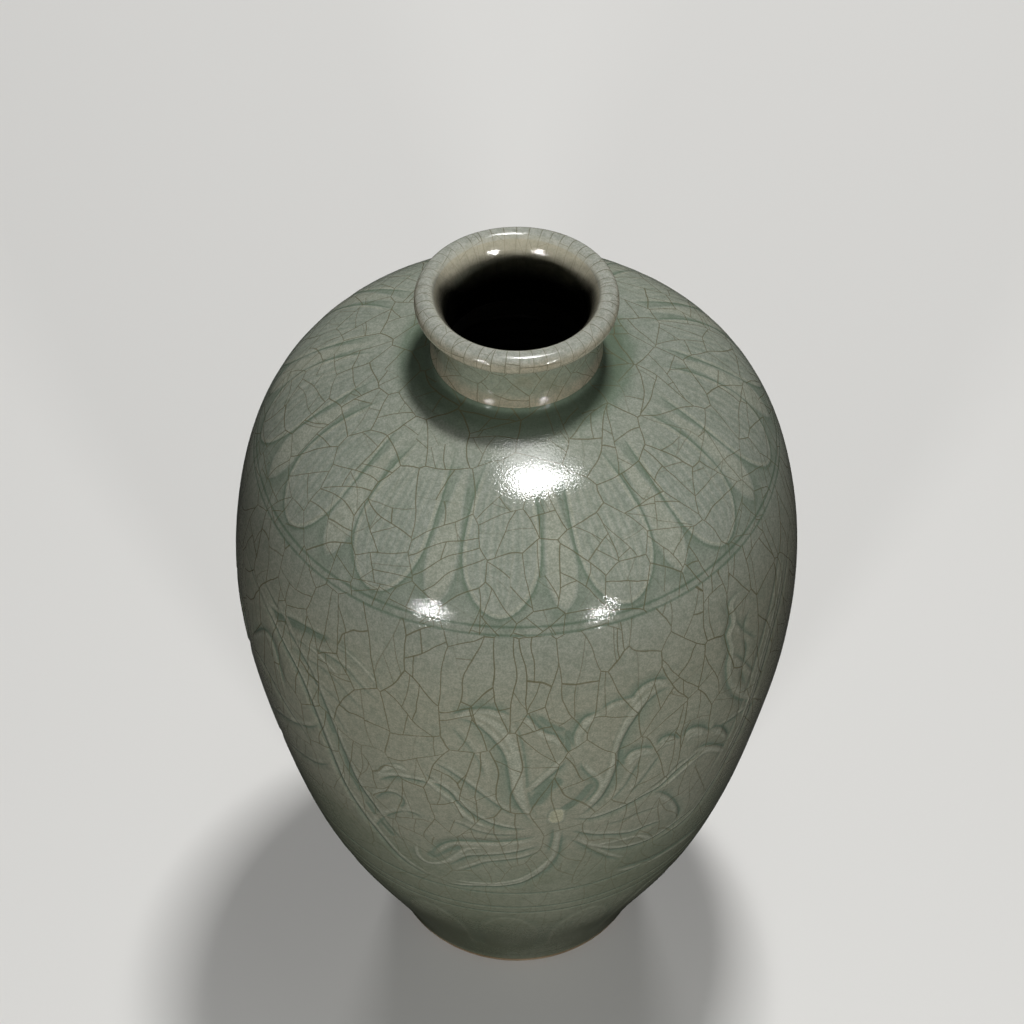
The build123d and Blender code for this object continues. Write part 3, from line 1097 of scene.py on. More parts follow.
def neck_and_lip_glaze():
    """The coat over the neck, the rolled lip and the throat."""
    count = 720
    edge_step = neck_edge_rise / (neck_edge_rows + 1)
    edge_radius = seam_radius + neck_edge_reach
    edge = [(edge_radius, seam_height + edge_step * (k + 1)) for k in range(neck_edge_rows)]
    inward, downward = roll_meets_neck_shares
    flared = smooth_curve(
        [
            (edge_radius, seam_height + neck_edge_rise),
            (seam_radius + above_seam[0], seam_height + above_seam[1]),
            *((waist_radius + reach, seam_height + rise) for reach, rise in below_waist),
            (waist_radius, waist_height),
            (lip_ring_radius - lip_roll_radius * inward, lip_height - lip_roll_radius * downward),
        ],
        (-0.6, 1),
        (lip_set_out, lip_rise * 0.8),
        64,
    )
    waist = np.concatenate([[(seam_radius, seam_height)], edge, flared])
    roll_turns = np.linspace(roll_start, roll_end, 60)
    roll = rolled(lip_roll_radius, roll_turns)
    last_turn = math.radians(roll_end)
    throat = smooth_curve(
        [
            roll[-1],
            *((throat_radius + reach, throat_height + rise) for reach, rise in throat_points),
            (throat_radius, throat_height - throat_drop),
        ],
        (-math.sin(last_turn), math.cos(last_turn)),
        (0, -1),
        26,
    )[1:]
    straight_heights = np.linspace(throat_height - throat_drop, seam_height + row_gap, 26)[1:]
    straight = [(throat_radius, h) for h in straight_heights] + [(throat_radius, seam_height)]
    path = np.concatenate([waist, roll, throat, straight])
    # The clay's side of the coat goes back up inside it
    inset = glaze_thickness * 0.75
    clay_throat_radius = throat_radius + inner_glaze_thickness
    back_throat = [(clay_throat_radius, h) for h in np.linspace(seam_height, throat_height, 8)]
    back_roll = rolled(lip_roll_radius - inset, np.linspace(roll_end, roll_start, 24))
    back_waist = waist[::-1][4:][::4] - np.array([inset, 0])
    back = np.concatenate([back_throat, back_roll, back_waist, [(seam_radius - inset, seam_height)]])
    lift = uneven(len(path), count, 10, neck_unevenness)
    lift[[0, -1]] = 0
    grid = np.concatenate([turned_points(path, count, lift), turned_points(back, count)])
    piece = ring_mesh("celadon_neck_and_lip_glaze", grid)
    along = lengths_along(path)
    roll_from = len(waist)
    roll_to = roll_from + len(roll)
    crest = np.zeros(len(path))
    crest[roll_from:roll_to] = eased(roll_turns, *lip_crest)
    inside = np.zeros(len(path))
    inside[roll_from:roll_to] = eased(roll_turns, *throat_begins)
    inside[roll_to:] = 1
    pool = np.zeros(len(path))
    pool[:roll_from] = 0.25
    pool[roll_from - 8 : roll_from + 6] += 0.6
    rest = np.zeros(len(back))
    back_along = np.linspace(along[-1], 0, len(back))
    for name, values, hidden in (
        ("pool", pool, rest),
        ("thin", crest, rest),
        ("inside", inside, rest),
        ("along", along, back_along),
    ):
        note_rows(piece, name, np.concatenate([values, hidden]), count)
    return fitted(piece, "celadon_glaze", "neck_glaze")


# The inside: how high the wall's corner with the floor is rounded, and the ridges that the fingers left
floor_corner_height = 6
floor_corner_points = [(0.97, 1.2), (0.995, 3.4)]
finger_ridge_height = 0.22
finger_ridge_spacing = 9.0


def inner_coat():
    """The thin coat inside, over the ridges that the potter's fingers left."""
    count = 256
    floor_level = base_top + inner_glaze_thickness
    wall = evenly(outline, 150)
    inner = wall - outward(wall) * (cavity_inset + inner_glaze_thickness)
    keep = (inner[:, 1] > floor_level + floor_corner_height) & (inner[:, 0] > throat_radius)
    inner = inner[keep]
    floor_radius = np.interp(floor_level + floor_corner_height, inner[:, 1], inner[:, 0])
    floor = [(floor_radius * t, floor_level) for t in np.linspace(0.02, 0.93, 26)]
    corner = [(floor_radius * share, floor_level + rise) for share, rise in floor_corner_points]
    top = [(throat_radius, h) for h in np.linspace(inner[-1, 1] + 1, seam_height - row_gap, 5)]
    top.append((throat_radius, seam_height))
    path = np.concatenate([floor, corner, inner, top])
    along = lengths_along(path)
    turn = np.arange(count) / count
    ridge_turns = along[:, None] / finger_ridge_spacing + turn[None, :]
    ridges = finger_ridge_height * np.sin(FULL_TURN * ridge_turns)
    ridges *= eased(along, 6, 30)[:, None] * eased(along[-1] - along, 12, 30)[:, None]
    shown = turned_points(path, count, ridges)
    back = (path + outward(path) * (inner_glaze_thickness * 0.5))[::-1]
    back[:, 0] = np.maximum(back[:, 0], path[0, 0])
    piece = ring_mesh("celadon_inner_glaze", np.concatenate([shown, turned_points(back, count)]), flip=True)
    climbed = np.concatenate([along, np.linspace(along[-1], 0, len(back))])
    note_rows(piece, "along", climbed, count)
    return fitted(piece, "celadon_glaze", "inner_glaze")


# The glaze under the base thins towards the foot ring
base_middle_radius = 1.2
base_edge_width = 6
base_edge_rise = 0.15


def base_coat():
    """The puddled coat under the base, inside the foot ring."""
    count = 192
    radii = np.linspace(base_middle_radius, recess_radius, 40)
    rise = base_edge_rise * eased(radii, recess_radius - base_edge_width, recess_radius)
    under = np.stack([radii, foot_height - base_glaze_thickness + rise], 1)
    over = np.stack([radii[::-1], np.full(len(radii), foot_height)], 1)
    path = np.concatenate([under, over])
    lift = np.zeros((len(path), count))
    lift[: len(radii)] = uneven(len(radii), count, 8, base_unevenness)
    lift[: len(radii)] *= np.sin(np.linspace(0, math.pi, len(radii)))[:, None]
    piece = ring_mesh("celadon_base_glaze", turned_points(path, count, lift))
    return fitted(piece, "celadon_glaze", "base_glaze")


# The rings that the turning tool left in the bare clay
tool_ring_depth = 0.06


def bare_foot():
    """The foot ring, wiped bare and worn along its resting edge."""
    count = 512
    inside = recess_radius
    outside = foot_radius - glaze_thickness
    bevel = foot_edge_bevel
    arc = np.radians(np.linspace(-90, 0, 6))
    outer_round = [(outside - bevel + bevel * math.cos(a), bevel + bevel * math.sin(a)) for a in arc]
    inner_round = [(inside + bevel - bevel * math.cos(a), bevel + bevel * math.sin(a)) for a in arc[::-1]]
    rise = np.linspace(bevel, foot_height, 14)[1:]
    seat = np.linspace(inside + bevel, outside - bevel, 12)[1:-1]
    top = np.linspace(outside, inside, 6)[1:-1]
    path = np.concatenate(
        [
            np.array(outer_round),
            [(outside, h) for h in rise],
            [(r, foot_height) for r in top],
            [(inside, h) for h in rise[::-1]],
            np.array(inner_round),
            [(r, 0.0) for r in seat],
        ]
    )
    grid = turned_points(path, count)
    turn = np.arange(count) * FULL_TURN / count
    along = np.arange(len(path))
    grain = tool_ring_depth * np.sin(along[:, None] * 2.3 + 3 * np.sin(turn)[None, :])
    lower = (path[:, 1] < foot_height - 1)[:, None]
    away = (path[:, 1] > bevel)[:, None]
    sideways = np.where(path[:, 0] > (inside + outside) / 2, -1, 1)[:, None]
    push = np.abs(grain) * lower * away * sideways
    grid[..., 0] += push * np.sin(turn)
    grid[..., 1] -= push * np.cos(turn)
    piece = ring_mesh("bare_stoneware_foot_ring", grid)
    return fitted(piece, "stoneware", "foot_ring")


# Materials


class Wire:
    """One output in a material's nodes, which takes part in sums as a number does."""

    def __init__(self, tree, socket):
        self.tree = tree
        self.socket = socket

    def worked(self, operation, *others, clamp=False):
        """A sum that this takes part in, first."""
        sockets = {k: value for k, value in enumerate((self,) + others)}
        return place(self.tree, "ShaderNodeMath", {"operation": operation, "use_clamp": clamp}, sockets)[0]

    def __add__(self, other):
        return self.worked("ADD", other)

    def __sub__(self, other):
        return self.worked("SUBTRACT", other)

    def __mul__(self, other):
        return self.worked("MULTIPLY", other)

    def __truediv__(self, other):
        return self.worked("DIVIDE", other)

    def __pow__(self, other):
        return self.worked("POWER", other)

    def __radd__(self, other):
        return self + other

    def __rmul__(self, other):
        return self * other

    def __rsub__(self, other):
        return place(self.tree, "ShaderNodeMath", {"operation": "SUBTRACT"}, {0: other, 1: self})[0]

    def __neg__(self):
        return self * -1

    def size(self):
        """This without its sign."""
        return self.worked("ABSOLUTE")

    def clamped(self):
        """This, kept from 0 to 1."""
        return self.worked("ADD", 0.0, clamp=True)

    def above(self, level):
        """One where this is above a level, and nothing elsewhere."""
        return self.worked("GREATER_THAN", level)

    def least(self, other):
        """The smaller of the two."""
        return self.worked("MINIMUM", other)

    def most(self, other):
        """The larger of the two."""
        return self.worked("MAXIMUM", other)

    def from_to(self, low, high, start=0.0, end=1.0):
        """Eased from one value to another as this goes from low to high."""
        return place(
            self.tree,
            "ShaderNodeMapRange",
            {"interpolation_type": "SMOOTHSTEP"},
            {"Value": self, "From Min": low, "From Max": high, "To Min": start, "To Max": end},
        )[0]


class Placed:
    """A node that has been placed, whose outputs are taken by name or number."""

    def __init__(self, tree, node):
        self.tree = tree
        self.node = node

    def __getitem__(self, key):
        return Wire(self.tree, self.node.outputs[key])


def place(tree, kind, settings=None, sockets=None):
    """One node: its settings first, then the values or links of its sockets."""
    node = tree.nodes.new(kind)
    for name, value in (settings or {}).items():
        setattr(node, name, value)
    for name, value in (sockets or {}).items():
        socket = node.inputs[name]
        if isinstance(value, Wire):
            tree.links.new(value.socket, socket)
        elif isinstance(value, Placed):
            tree.links.new(value.node.outputs[0], socket)
        else:
            socket.default_value = value
    return Placed(tree, node)


def arrows(operation, a, b=None, scale=None, out=0):
    """A sum on directions or places."""
    sockets = {0: a}
    if b is not None:
        sockets[1] = b
    if scale is not None:
        sockets["Scale"] = scale
    source = a if isinstance(a, Wire) else b
    return place(source.tree, "ShaderNodeVectorMath", {"operation": operation}, sockets)[out]


def moved(a, b):
    """A place moved by a direction."""
    return arrows("ADD", a, b)


def parts_of(tree, where):
    """The three parts of a place or a direction."""
    return place(tree, "ShaderNodeSeparateXYZ", {}, {0: where})


def scaled_up(tree, where, factor):
    """The place with its height scaled, so that what is drawn there runs up and down."""
    spot = parts_of(tree, where)
    return place(tree, "ShaderNodeCombineXYZ", {}, {0: spot[0], 1: spot[1], 2: spot[2] * factor})[0]


def scaled(a, factor):
    """A direction made longer or shorter."""
    return arrows("SCALE", a, scale=factor)


def noise(tree, where, scale, detail, roughness):
    """Cloudy variation, per metre of the object."""
    sockets = {"Vector": where, "Scale": scale, "Detail": detail, "Roughness": roughness}
    return place(tree, "ShaderNodeTexNoise", {}, sockets)["Fac"]


def blended(tree, share, first, second):
    """One colour going over into another."""
    node = place(tree, "ShaderNodeMix", {"data_type": "RGBA"}, {0: share, 6: first, 7: second})
    return node[2]


def attribute(tree, name):
    """A number kept on the piece's points by note."""
    return place(tree, "ShaderNodeAttribute", {"attribute_name": name})["Fac"]


def colour(red, green, blue):
    """A colour as read on a screen, from 0 to 255, for a node's socket."""
    parts = [value / 255 for value in (red, green, blue)]
    linear = [part / 12.92 if part <= 0.04045 else ((part + 0.055) / 1.055) ** 2.4 for part in parts]
    return (*linear, 1.0)


def fresh_material(name):
    """A material with its surface shader, ready for nodes."""
    material = bpy.data.materials.new(name)
    material.use_nodes = True
    tree = material.node_tree
    tree.nodes.clear()
    shader = tree.nodes.new("ShaderNodeBsdfPrincipled")
    end = tree.nodes.new("ShaderNodeOutputMaterial")
    tree.links.new(shader.outputs[0], end.inputs["Surface"])
    return material, tree, shader


def feed(tree, shader, name, value):
    """Sets a socket of the surface shader, or links it where the value varies."""
    if isinstance(value, Wire):
        tree.links.new(value.socket, shader.inputs[name])
    else:
        shader.inputs[name].default_value = value


# Clouds, runs and specks in glaze and clay: how fine they are per metre, their detail and their roughness
broad_clouds = (16.0, 3.0, 0.6)
wall_mist = (120.0, 3.0, 0.6)
neck_clouds = (60.0, 3.0, 0.6)
inside_clouds = (22.0, 3.0, 0.6)
base_clouds = (40.0, 3.0, 0.6)
clay_clouds = (40.0, 4.0, 0.6)
clay_grit = (900.0, 3.0, 0.7)
throat_runs = (420.0, 2.0, 0.6)
fine_patches = (420.0, 2.0, 0.6)
fine_grain = (1400.0, 2.0, 0.75)
orange_peel = (1350.0, 1.0, 0.6)
gentle_ripple = (150.0, 2.0, 0.5)
crack_stains = (34.0, 2.0, 0.5)
crack_fading = (26.0, 1.0, 0.5)
gloss_clouds = (60.0, 2.0, 0.5)
throat_draw_out = 0.12

# How the cracks wander: sways and shivers of the place that they are drawn at, per metre, and their reach
broad_sway = 22.0
net_sway = 26.0
fine_shiver = 130.0
net_sway_reach = 17
net_shiver_reach = 0.9
crack_wobble = 0.8

# The least distance from the axis that anything is divided by, in metres
least_from_axis = 0.0001

# Climbing cracks, in strips and storeys: how far they sway, and how the pieces between them are split
strip_sway = 1.7
storey_sway = 1.5
strip_waver = 0.07
storey_waver = 0.08
storey_shift = 9
strips_alike = 2.6
first_lean = 1.9
first_reach_share = 0.5
second_lean = 1.5
second_reach_share = 0.45

# Netted cracks: how the pieces between them are split
net_lean = 1.2
net_reach_shares = (0.3, 0.4, 0.9)


def crack(distance, half_width):
    """One on a crack, falling to nothing beside it. Both lengths are in the same unit."""
    return distance.size().from_to(half_width * 0.6, half_width * 1.5, 1.0, 0.0)


def chances(tree, x, y, z=0.0):
    """Three chance numbers from 0 to 1, the same all over one piece of the glaze."""
    spot = place(tree, "ShaderNodeCombineXYZ", {}, {0: x, 1: y, 2: z})[0]
    node = place(tree, "ShaderNodeTexWhiteNoise", {"noise_dimensions": "3D"}, {"Vector": spot})
    return parts_of(tree, node["Color"])


def bent(tree, where, per_metre):
    """A gentle sway in three directions, each about half a unit either way."""
    node = place(tree, "ShaderNodeTexNoise", {}, {"Vector": where, "Scale": per_metre, "Detail": 1.0})
    return arrows("SUBTRACT", node["Color"], (0.5, 0.5, 0.5))


def split_once(across, upward, chance, lean, reach):
    """How far a point is from a crack of chance place and lean through its piece of the glaze.

    across and upward are in millimetres from the middle of the piece."""
    angle = (chance[0] - 0.5) * lean
    return across * angle.worked("COSINE") + upward * angle.worked("SINE") + (chance[1] - 0.5) * reach


def crazed(tree, where, around, upward, strip_width, tall, half_width, count):
    """Crackle: long cracks side by side, and shorter ones that end on them and on each other.

    around numbers the strips between the long cracks, upward is millimetres along them, tall is the usual
    height between two cracks across a strip, and count is after how many strips they come round again.
    Gives the strong cracks and the faint ones."""
    shiver = parts_of(tree, bent(tree, where, fine_shiver))
    around = around + shiver[0] * strip_waver
    strip = around.worked("FLOOR")
    share = around - strip
    strip = strip.worked("FLOORED_MODULO", count)
    luck = chances(tree, (strip / strips_alike).worked("FLOOR"), 3.0)
    storeys = upward / tall + luck[0] * storey_shift + shiver[1] * storey_waver
    storey = storeys.worked("FLOOR")
    rise = storeys - storey
    from_side = share.least(1 - share) * strip_width
    from_floor = rise.least(1 - rise) * tall
    middle_across = (share - 0.5) * strip_width
    middle_upward = (rise - 0.5) * tall
    dice = chances(tree, strip, storey, 7.0)
    first_reach = strip_width * first_reach_share
    first = split_once(middle_across, middle_upward, dice, first_lean, first_reach)
    first = first + shiver[2] * crack_wobble
    dice_two = chances(tree, strip, storey, first.above(0.0) + 11.0)
    second_reach = tall * second_reach_share
    second = split_once(middle_upward, middle_across, dice_two, second_lean, second_reach)
    second = second + shiver[1] * crack_wobble
    floor_luck = chances(tree, strip, storey, 5.0)
    fading = noise(tree, where, *crack_fading).from_to(0.3, 0.6, 0.55, 1.0)
    strong = crack(from_side, half_width) * fading
    strong = strong.most(crack(from_floor, half_width) * floor_luck[0].from_to(0.15, 0.4) * 0.95)
    strong = strong.most(crack(first, half_width * 0.9) * dice[2].from_to(0.45, 0.7) * 0.85)
    faint = crack(second, half_width * 0.9) * dice_two[2].from_to(0.4, 0.7) * 0.9
    return strong, faint


def climbing_cracks(tree, where, along, count, tall, half_width):
    """Crackle whose long cracks, so many of them, climb the wall."""
    sway = parts_of(tree, bent(tree, where, broad_sway))
    spot = parts_of(tree, where)
    turn = turned_by(spot)
    radius = from_axis_of(spot) / MM
    strip_width = radius * (FULL_TURN / count)
    around = turn * (count / FULL_TURN) + sway[0] * strip_sway
    upward = along + sway[1] * tall * storey_sway
    return crazed(tree, where, around, upward, strip_width, tall, half_width, count)


def turned_by(where):
    """The angle of a place round the vase from its front, in radians."""
    return where[0].worked("ARCTAN2", -where[1])


def from_axis_of(where):
    """How far a place is from the vase's axis."""
    return (where[0] * where[0] + where[1] * where[1]).worked("SQRT")


def spread_flat(where, from_axis):
    """Where a point of a domed coat would lie if the coat were spread flat, in millimetres.

    from_axis is how far the point is from the vase's axis, measured along the coat."""
    stretch = from_axis / from_axis_of(where).most(least_from_axis)
    return where[0] * stretch, where[1] * stretch


def true_gap(gap, sideways, frontways, squeeze):
    """A distance as it is on the glaze, from one measured square to a crack where frontways is squeezed.

    sideways and frontways say which way the distance was measured."""
    frontways = frontways * squeeze
    return gap / (sideways * sideways + frontways * frontways).worked("SQRT")


def netted_cracks(tree, where, sideways, frontways, cell, half_width, squeeze=1.0):
    """Crackle that runs every way: pieces about as wide as cell, each cracked across and its halves cracked
    again, and every such crack ending on another.

    sideways and frontways are where the point would lie with the coat spread flat, in millimetres. squeeze
    is how much of its height frontways has kept."""
    sway = parts_of(tree, bent(tree, where, net_sway))
    shiver = parts_of(tree, bent(tree, where, fine_shiver))
    sideways = (sideways + sway[0] * net_sway_reach + shiver[0] * net_shiver_reach) / cell
    frontways = (frontways + sway[1] * net_sway_reach + shiver[1] * net_shiver_reach) / cell
    flat = place(tree, "ShaderNodeCombineXYZ", {}, {0: sideways, 1: frontways, 2: 0.0})[0]
    sockets = {"Vector": flat, "Scale": 1.0}
    settings = {"voronoi_dimensions": "2D", "feature": "F1"}
    here = place(tree, "ShaderNodeTexVoronoi", settings, sockets)
    next_one = place(tree, "ShaderNodeTexVoronoi", settings | {"feature": "F2"}, sockets)
    over = arrows("NORMALIZE", arrows("SUBTRACT", next_one["Position"], here["Position"]))
    halfway = scaled(moved(next_one["Position"], here["Position"]), 0.5)
    square = parts_of(tree, over)
    border = arrows("DOT_PRODUCT", arrows("SUBTRACT", halfway, flat), over, out="Value") * cell
    border = true_gap(border, square[0], square[1], squeeze)
    luck = parts_of(tree, here["Color"])
    rest = parts_of(tree, scaled(arrows("SUBTRACT", flat, here["Position"]), cell))
    angle = luck[0] * math.pi
    aside, rise = angle.worked("COSINE"), angle.worked("SINE")
    across = rest[0] * aside + rest[1] * rise
    upward = rest[1] * aside - rest[0] * rise
    first_reach, second_reach, third_reach = (cell * share for share in net_reach_shares)
    first = across + (luck[1] - 0.5) * first_reach + shiver[2] * crack_wobble
    side = first.above(0.0)
    dice = chances(tree, luck[2] * 90, side, 2.0)
    second = split_once(upward, across, dice, net_lean, second_reach) + shiver[1] * crack_wobble
    dice_two = chances(tree, luck[2] * 90, side * 2 + second.above(0.0), 6.0)
    third = split_once(upward, across, dice_two, net_lean, third_reach) + sway[2] * 2
    first = true_gap(first, aside, rise, squeeze)
    second = true_gap(second, rise, aside, squeeze)
    third = true_gap(third, rise, aside, squeeze)
    strong = crack(border, half_width) * luck[1].from_to(0.0, 0.2, 0.5, 1.0)
    strong = strong.most(crack(first, half_width) * luck[2].from_to(0.05, 0.3, 0.2, 0.95))
    faint = crack(second, half_width * 0.95) * dice[2].from_to(0.1, 0.5, 0.2, 1.0)
    faint = faint.most(crack(third, half_width * 0.9) * dice_two[2].from_to(0.4, 0.8) * 0.8)
    return strong, faint


# Colours as read on a screen, 0 to 255
thin_glaze = colour(173, 174, 157)
bare_glaze = colour(184, 181, 154)
plain_glaze = colour(153, 152, 134)
pooled_glaze = colour(116, 129, 113)
shoulder_glaze = colour(152, 157, 146)
deep_glaze = colour(84, 98, 80)
# Painted shade under the lip, near the neck
neck_pool_shade_glaze = colour(54, 66, 52)
# Painted shade towards the foot, the lower one with an olive tint
low_wall_shade_glaze = colour(122, 127, 107)
olive_foot_shade_glaze = colour(88, 92, 74)
crack_colour = colour(97, 92, 67)
stain_colour = colour(128, 112, 82)
lip_colour = colour(176, 177, 167)
lip_low_colour = colour(176, 169, 148)
throat_stain = colour(196, 191, 170)
# Painted shade in the throat
painted_throat_shade = colour(26, 26, 21)
neck_colour = colour(142, 147, 129)
neck_foot_colour = colour(164, 156, 134)
# Painted shade inside the vase, and darker clouds over it
painted_inside_shade = colour(40, 40, 31)
inside_shade_cloud_colour = colour(52, 46, 33)
biscuit_colour = colour(120, 102, 76)
biscuit_pale = colour(158, 140, 116)
grit_colour = colour(70, 52, 40)
toasted_colour = colour(112, 88, 62)

# Where the body's glaze changes, in millimetres up the vase
groove_level = 264.4
shoulder_tone_heights = (225, 285)
# Below these heights the wall is painted darker and more olive towards the foot: painted shade, with an
# olive tint
low_shade_heights = (152, 116)
olive_shade_heights = (85, 30)
crack_heights = (60, 230)
grain_heights = (30, 200)
bare_edge_heights = (4, 2.6)

# Where the neck's glaze changes, in millimetres up the vase, how far back in the throat is lit, and where
# painted shade darkens the throat
neck_foot_heights = (313.0, 320.0)
under_lip_heights = (332.0, 334.5)
lit_throat_reach = (4, 20)
throat_dark_height = 338.8
throat_dark_drop = 9.8
throat_dark_wander = 5.0
throat_dark_heights = (-5.5, 6.2)
toasted_heights = (0.5, 2.8)

# The crackle: the width of its pieces and half the width of its cracks, in millimetres
wall_piece_width = 17.5
wall_crack = 0.26
shoulder_crack = 0.2
neck_piece_width = 14.0
neck_crack = 0.16
base_piece_width = 18.0
lip_cracks = 46
lip_crack = 0.14
inside_cracks = 40
inside_crack = 0.2
storey_height = 15.0
# The wall and the neck are unrolled at these radii, and the wall's crackle is drawn out upwards
wall_unrolled_radius = 122
neck_unrolled_radius = 30
wall_draw_out = 1.75
wall_squeeze = 0.55


def levels(heights):
    """Heights in the unit that the nodes read."""
    return [height * MM for height in heights]


# The gloss: how rough it is, how much that varies, and how high its relief stands, in millimetres
glossy = 0.07
dulled = 0.4
gloss_variation = 0.05
glaze_refraction = 1.5
glaze_relief = 0.6
clay_relief = 0.4


def fine_relief(tree, strength, height_mm, relief):
    """A fine relief on a surface, which its normal follows."""
    sockets = {"Strength": strength, "Distance": height_mm * MM, "Height": relief}
    return place(tree, "ShaderNodeBump", {}, sockets)[0]


def glaze_finish(tree, shader, where, base, roughness=glossy):
    """The gloss that all the glaze shares, over its own colour: fine orange peel on a gentle ripple."""
    peel = noise(tree, where, *orange_peel)
    ripple = noise(tree, where, *gentle_ripple)
    feed(tree, shader, "Base Color", base)
    feed(tree, shader, "Roughness", noise(tree, where, *gloss_clouds) * gloss_variation + roughness)
    feed(tree, shader, "Normal", fine_relief(tree, 0.22, glaze_relief, peel * 0.4 + ripple * 0.12))
    feed(tree, shader, "IOR", glaze_refraction)


def layered(tree, ground, *layers):
    """A colour with others laid over it in turn, each given after its share."""
    for share, over in layers:
        ground = blended(tree, share, ground, over)
    return ground


def specks(tree, where, grain_share):
    """The fine dark patches and the grain in the glaze, to lay over its colour."""
    patches = noise(tree, where, *fine_patches).from_to(0.4, 0.65) * 0.2
    grain = noise(tree, where, *fine_grain).from_to(0.38, 0.62) * grain_share
    return (patches, deep_glaze), (grain, deep_glaze)


def body_material():
    """Celadon over carving: pooled and green in the cuts, thin and grey on the edges, crackled all over,
    with painted shade towards the foot and under the lip.
    """
    material, tree, shader = fresh_material("carved_crackled_celadon")
    where = place(tree, "ShaderNodeTexCoord")["Object"]
    pool = attribute(tree, "pool")
    along = attribute(tree, "along")
    spot = parts_of(tree, where)
    height = spot[2]
    on_shoulder = height.above(groove_level * MM)
    on_dome = spread_flat(spot, attribute(tree, "from_axis"))
    round_wall = turned_by(spot) * wall_unrolled_radius
    sideways = round_wall + (on_dome[0] - round_wall) * on_shoulder
    up_wall = along / wall_draw_out
    frontways = up_wall + (on_dome[1] - up_wall) * on_shoulder
    half_width = wall_crack - on_shoulder * (wall_crack - shoulder_crack)
    squeeze = on_shoulder * (1 - wall_squeeze) + wall_squeeze
    strong, faint = netted_cracks(tree, where, sideways, frontways, wall_piece_width, half_width, squeeze)
    # One crack climbs the back, where the unrolled wall begins and ends
    at_back = (math.pi * wall_unrolled_radius - round_wall.size()) * (1 - on_shoulder) + on_shoulder * 9
    strong = strong.most(crack(at_back, shoulder_crack))
    clearer = height.from_to(*levels(crack_heights), 0.3, 1.0)
    cloud = noise(tree, where, *broad_clouds)
    mist = noise(tree, where, *wall_mist)
    stain = noise(tree, where, *crack_stains)
    ground = layered(
        tree,
        plain_glaze,
        (height.from_to(*levels(shoulder_tone_heights)), shoulder_glaze),
        # Painted shade: darker and more olive towards the foot, where the light falls off
        (height.from_to(*levels(low_shade_heights)) * 0.85, low_wall_shade_glaze),
        (height.from_to(*levels(olive_shade_heights)) * 0.6, olive_foot_shade_glaze),
        ((cloud - 0.5).from_to(-0.16, 0.2) * 0.3, thin_glaze),
        ((pool + (mist - 0.5) * 0.3).from_to(0.0, 1.1) * 0.9, pooled_glaze),
        ((-pool).from_to(0.05, 0.9) * 0.8, thin_glaze),
        ((-pool).from_to(1.1, 1.8) * 0.85, bare_glaze),
        (pool.from_to(1.1, 1.7) * 0.6, deep_glaze),
        # Past the thickest pool, which comes only near the neck: painted shade under the lip
        (pool.from_to(1.8, 2.6) * 0.85, neck_pool_shade_glaze),
        ((mist - 0.5).from_to(-0.05, 0.3) * 0.25, pooled_glaze),
        *specks(tree, where, height.from_to(*levels(grain_heights), 0.14, 0.34)),
        (faint * clearer * (0.5 + stain * 0.4), crack_colour),
        (strong * clearer * (0.55 + stain * 0.4), crack_colour),
        (height.from_to(*levels(bare_edge_heights)) * 0.8, biscuit_colour),
    )
    glaze_finish(tree, shader, where, ground)
    return material


def neck_material():
    """The neck and lip: the glaze runs thin and pale over the roll, and its cracks run up and over it."""
    material, tree, shader = fresh_material("crackled_celadon_lip")
    where = place(tree, "ShaderNodeTexCoord")["Object"]
    pool = attribute(tree, "pool")
    crest = attribute(tree, "thin")
    along = attribute(tree, "along")
    spot = parts_of(tree, where)
    height = spot[2]
    over_lip, over_lip_faint = climbing_cracks(tree, where, along, lip_cracks, storey_height, lip_crack)
    round_neck = turned_by(spot) * neck_unrolled_radius
    netted, netted_faint = netted_cracks(tree, where, round_neck, along, neck_piece_width, neck_crack)
    netted = netted.most(crack(math.pi * neck_unrolled_radius - round_neck.size(), neck_crack))
    on_lip = height.above((lip_height - lip_roll_radius) * MM)
    strong = netted + (over_lip - netted) * on_lip
    faint = netted_faint * 0.7 + (over_lip_faint - netted_faint * 0.7) * on_lip
    cloud = noise(tree, where, *neck_clouds)
    runs = noise(tree, scaled_up(tree, where, throat_draw_out), *throat_runs)
    in_throat = attribute(tree, "inside")
    behind = spot[1].from_to(*levels(lit_throat_reach))
    shown = in_throat.from_to(0.0, 1.0, 1.0, 0.35)
    # Painted shade: the throat is painted dark below a soft edge, which lies lower at the back, where the
    # light falls in
    wander = (cloud - 0.5) * (throat_dark_wander * MM)
    dark_from = throat_dark_height * MM - throat_dark_drop * MM * behind + wander
    ground = layered(
        tree,
        neck_foot_colour,
        (height.from_to(*levels(neck_foot_heights)), neck_colour),
        (height.from_to(*levels(under_lip_heights)), lip_low_colour),
        (crest, lip_colour),
        ((cloud - 0.5).from_to(0.0, 0.25) * 0.3, stain_colour),
        (pool.from_to(0.2, 1.2) * 0.6, pooled_glaze),
        *specks(tree, where, 0.28),
        (in_throat * (0.1 + runs * 0.6).clamped(), throat_stain),
        # Painted shade on the throat's front and sides, away from the back where the light falls in
        (in_throat.from_to(0.5, 1.0) * (1 - behind) * 0.4, painted_throat_shade),
        (faint * shown * 0.5, crack_colour),
        (strong * shown * (on_lip * 0.15 + 0.65), crack_colour),
        ((dark_from - height).from_to(*levels(throat_dark_heights)) * in_throat, painted_throat_shade),
    )
    glaze_finish(tree, shader, where, ground)
    return material


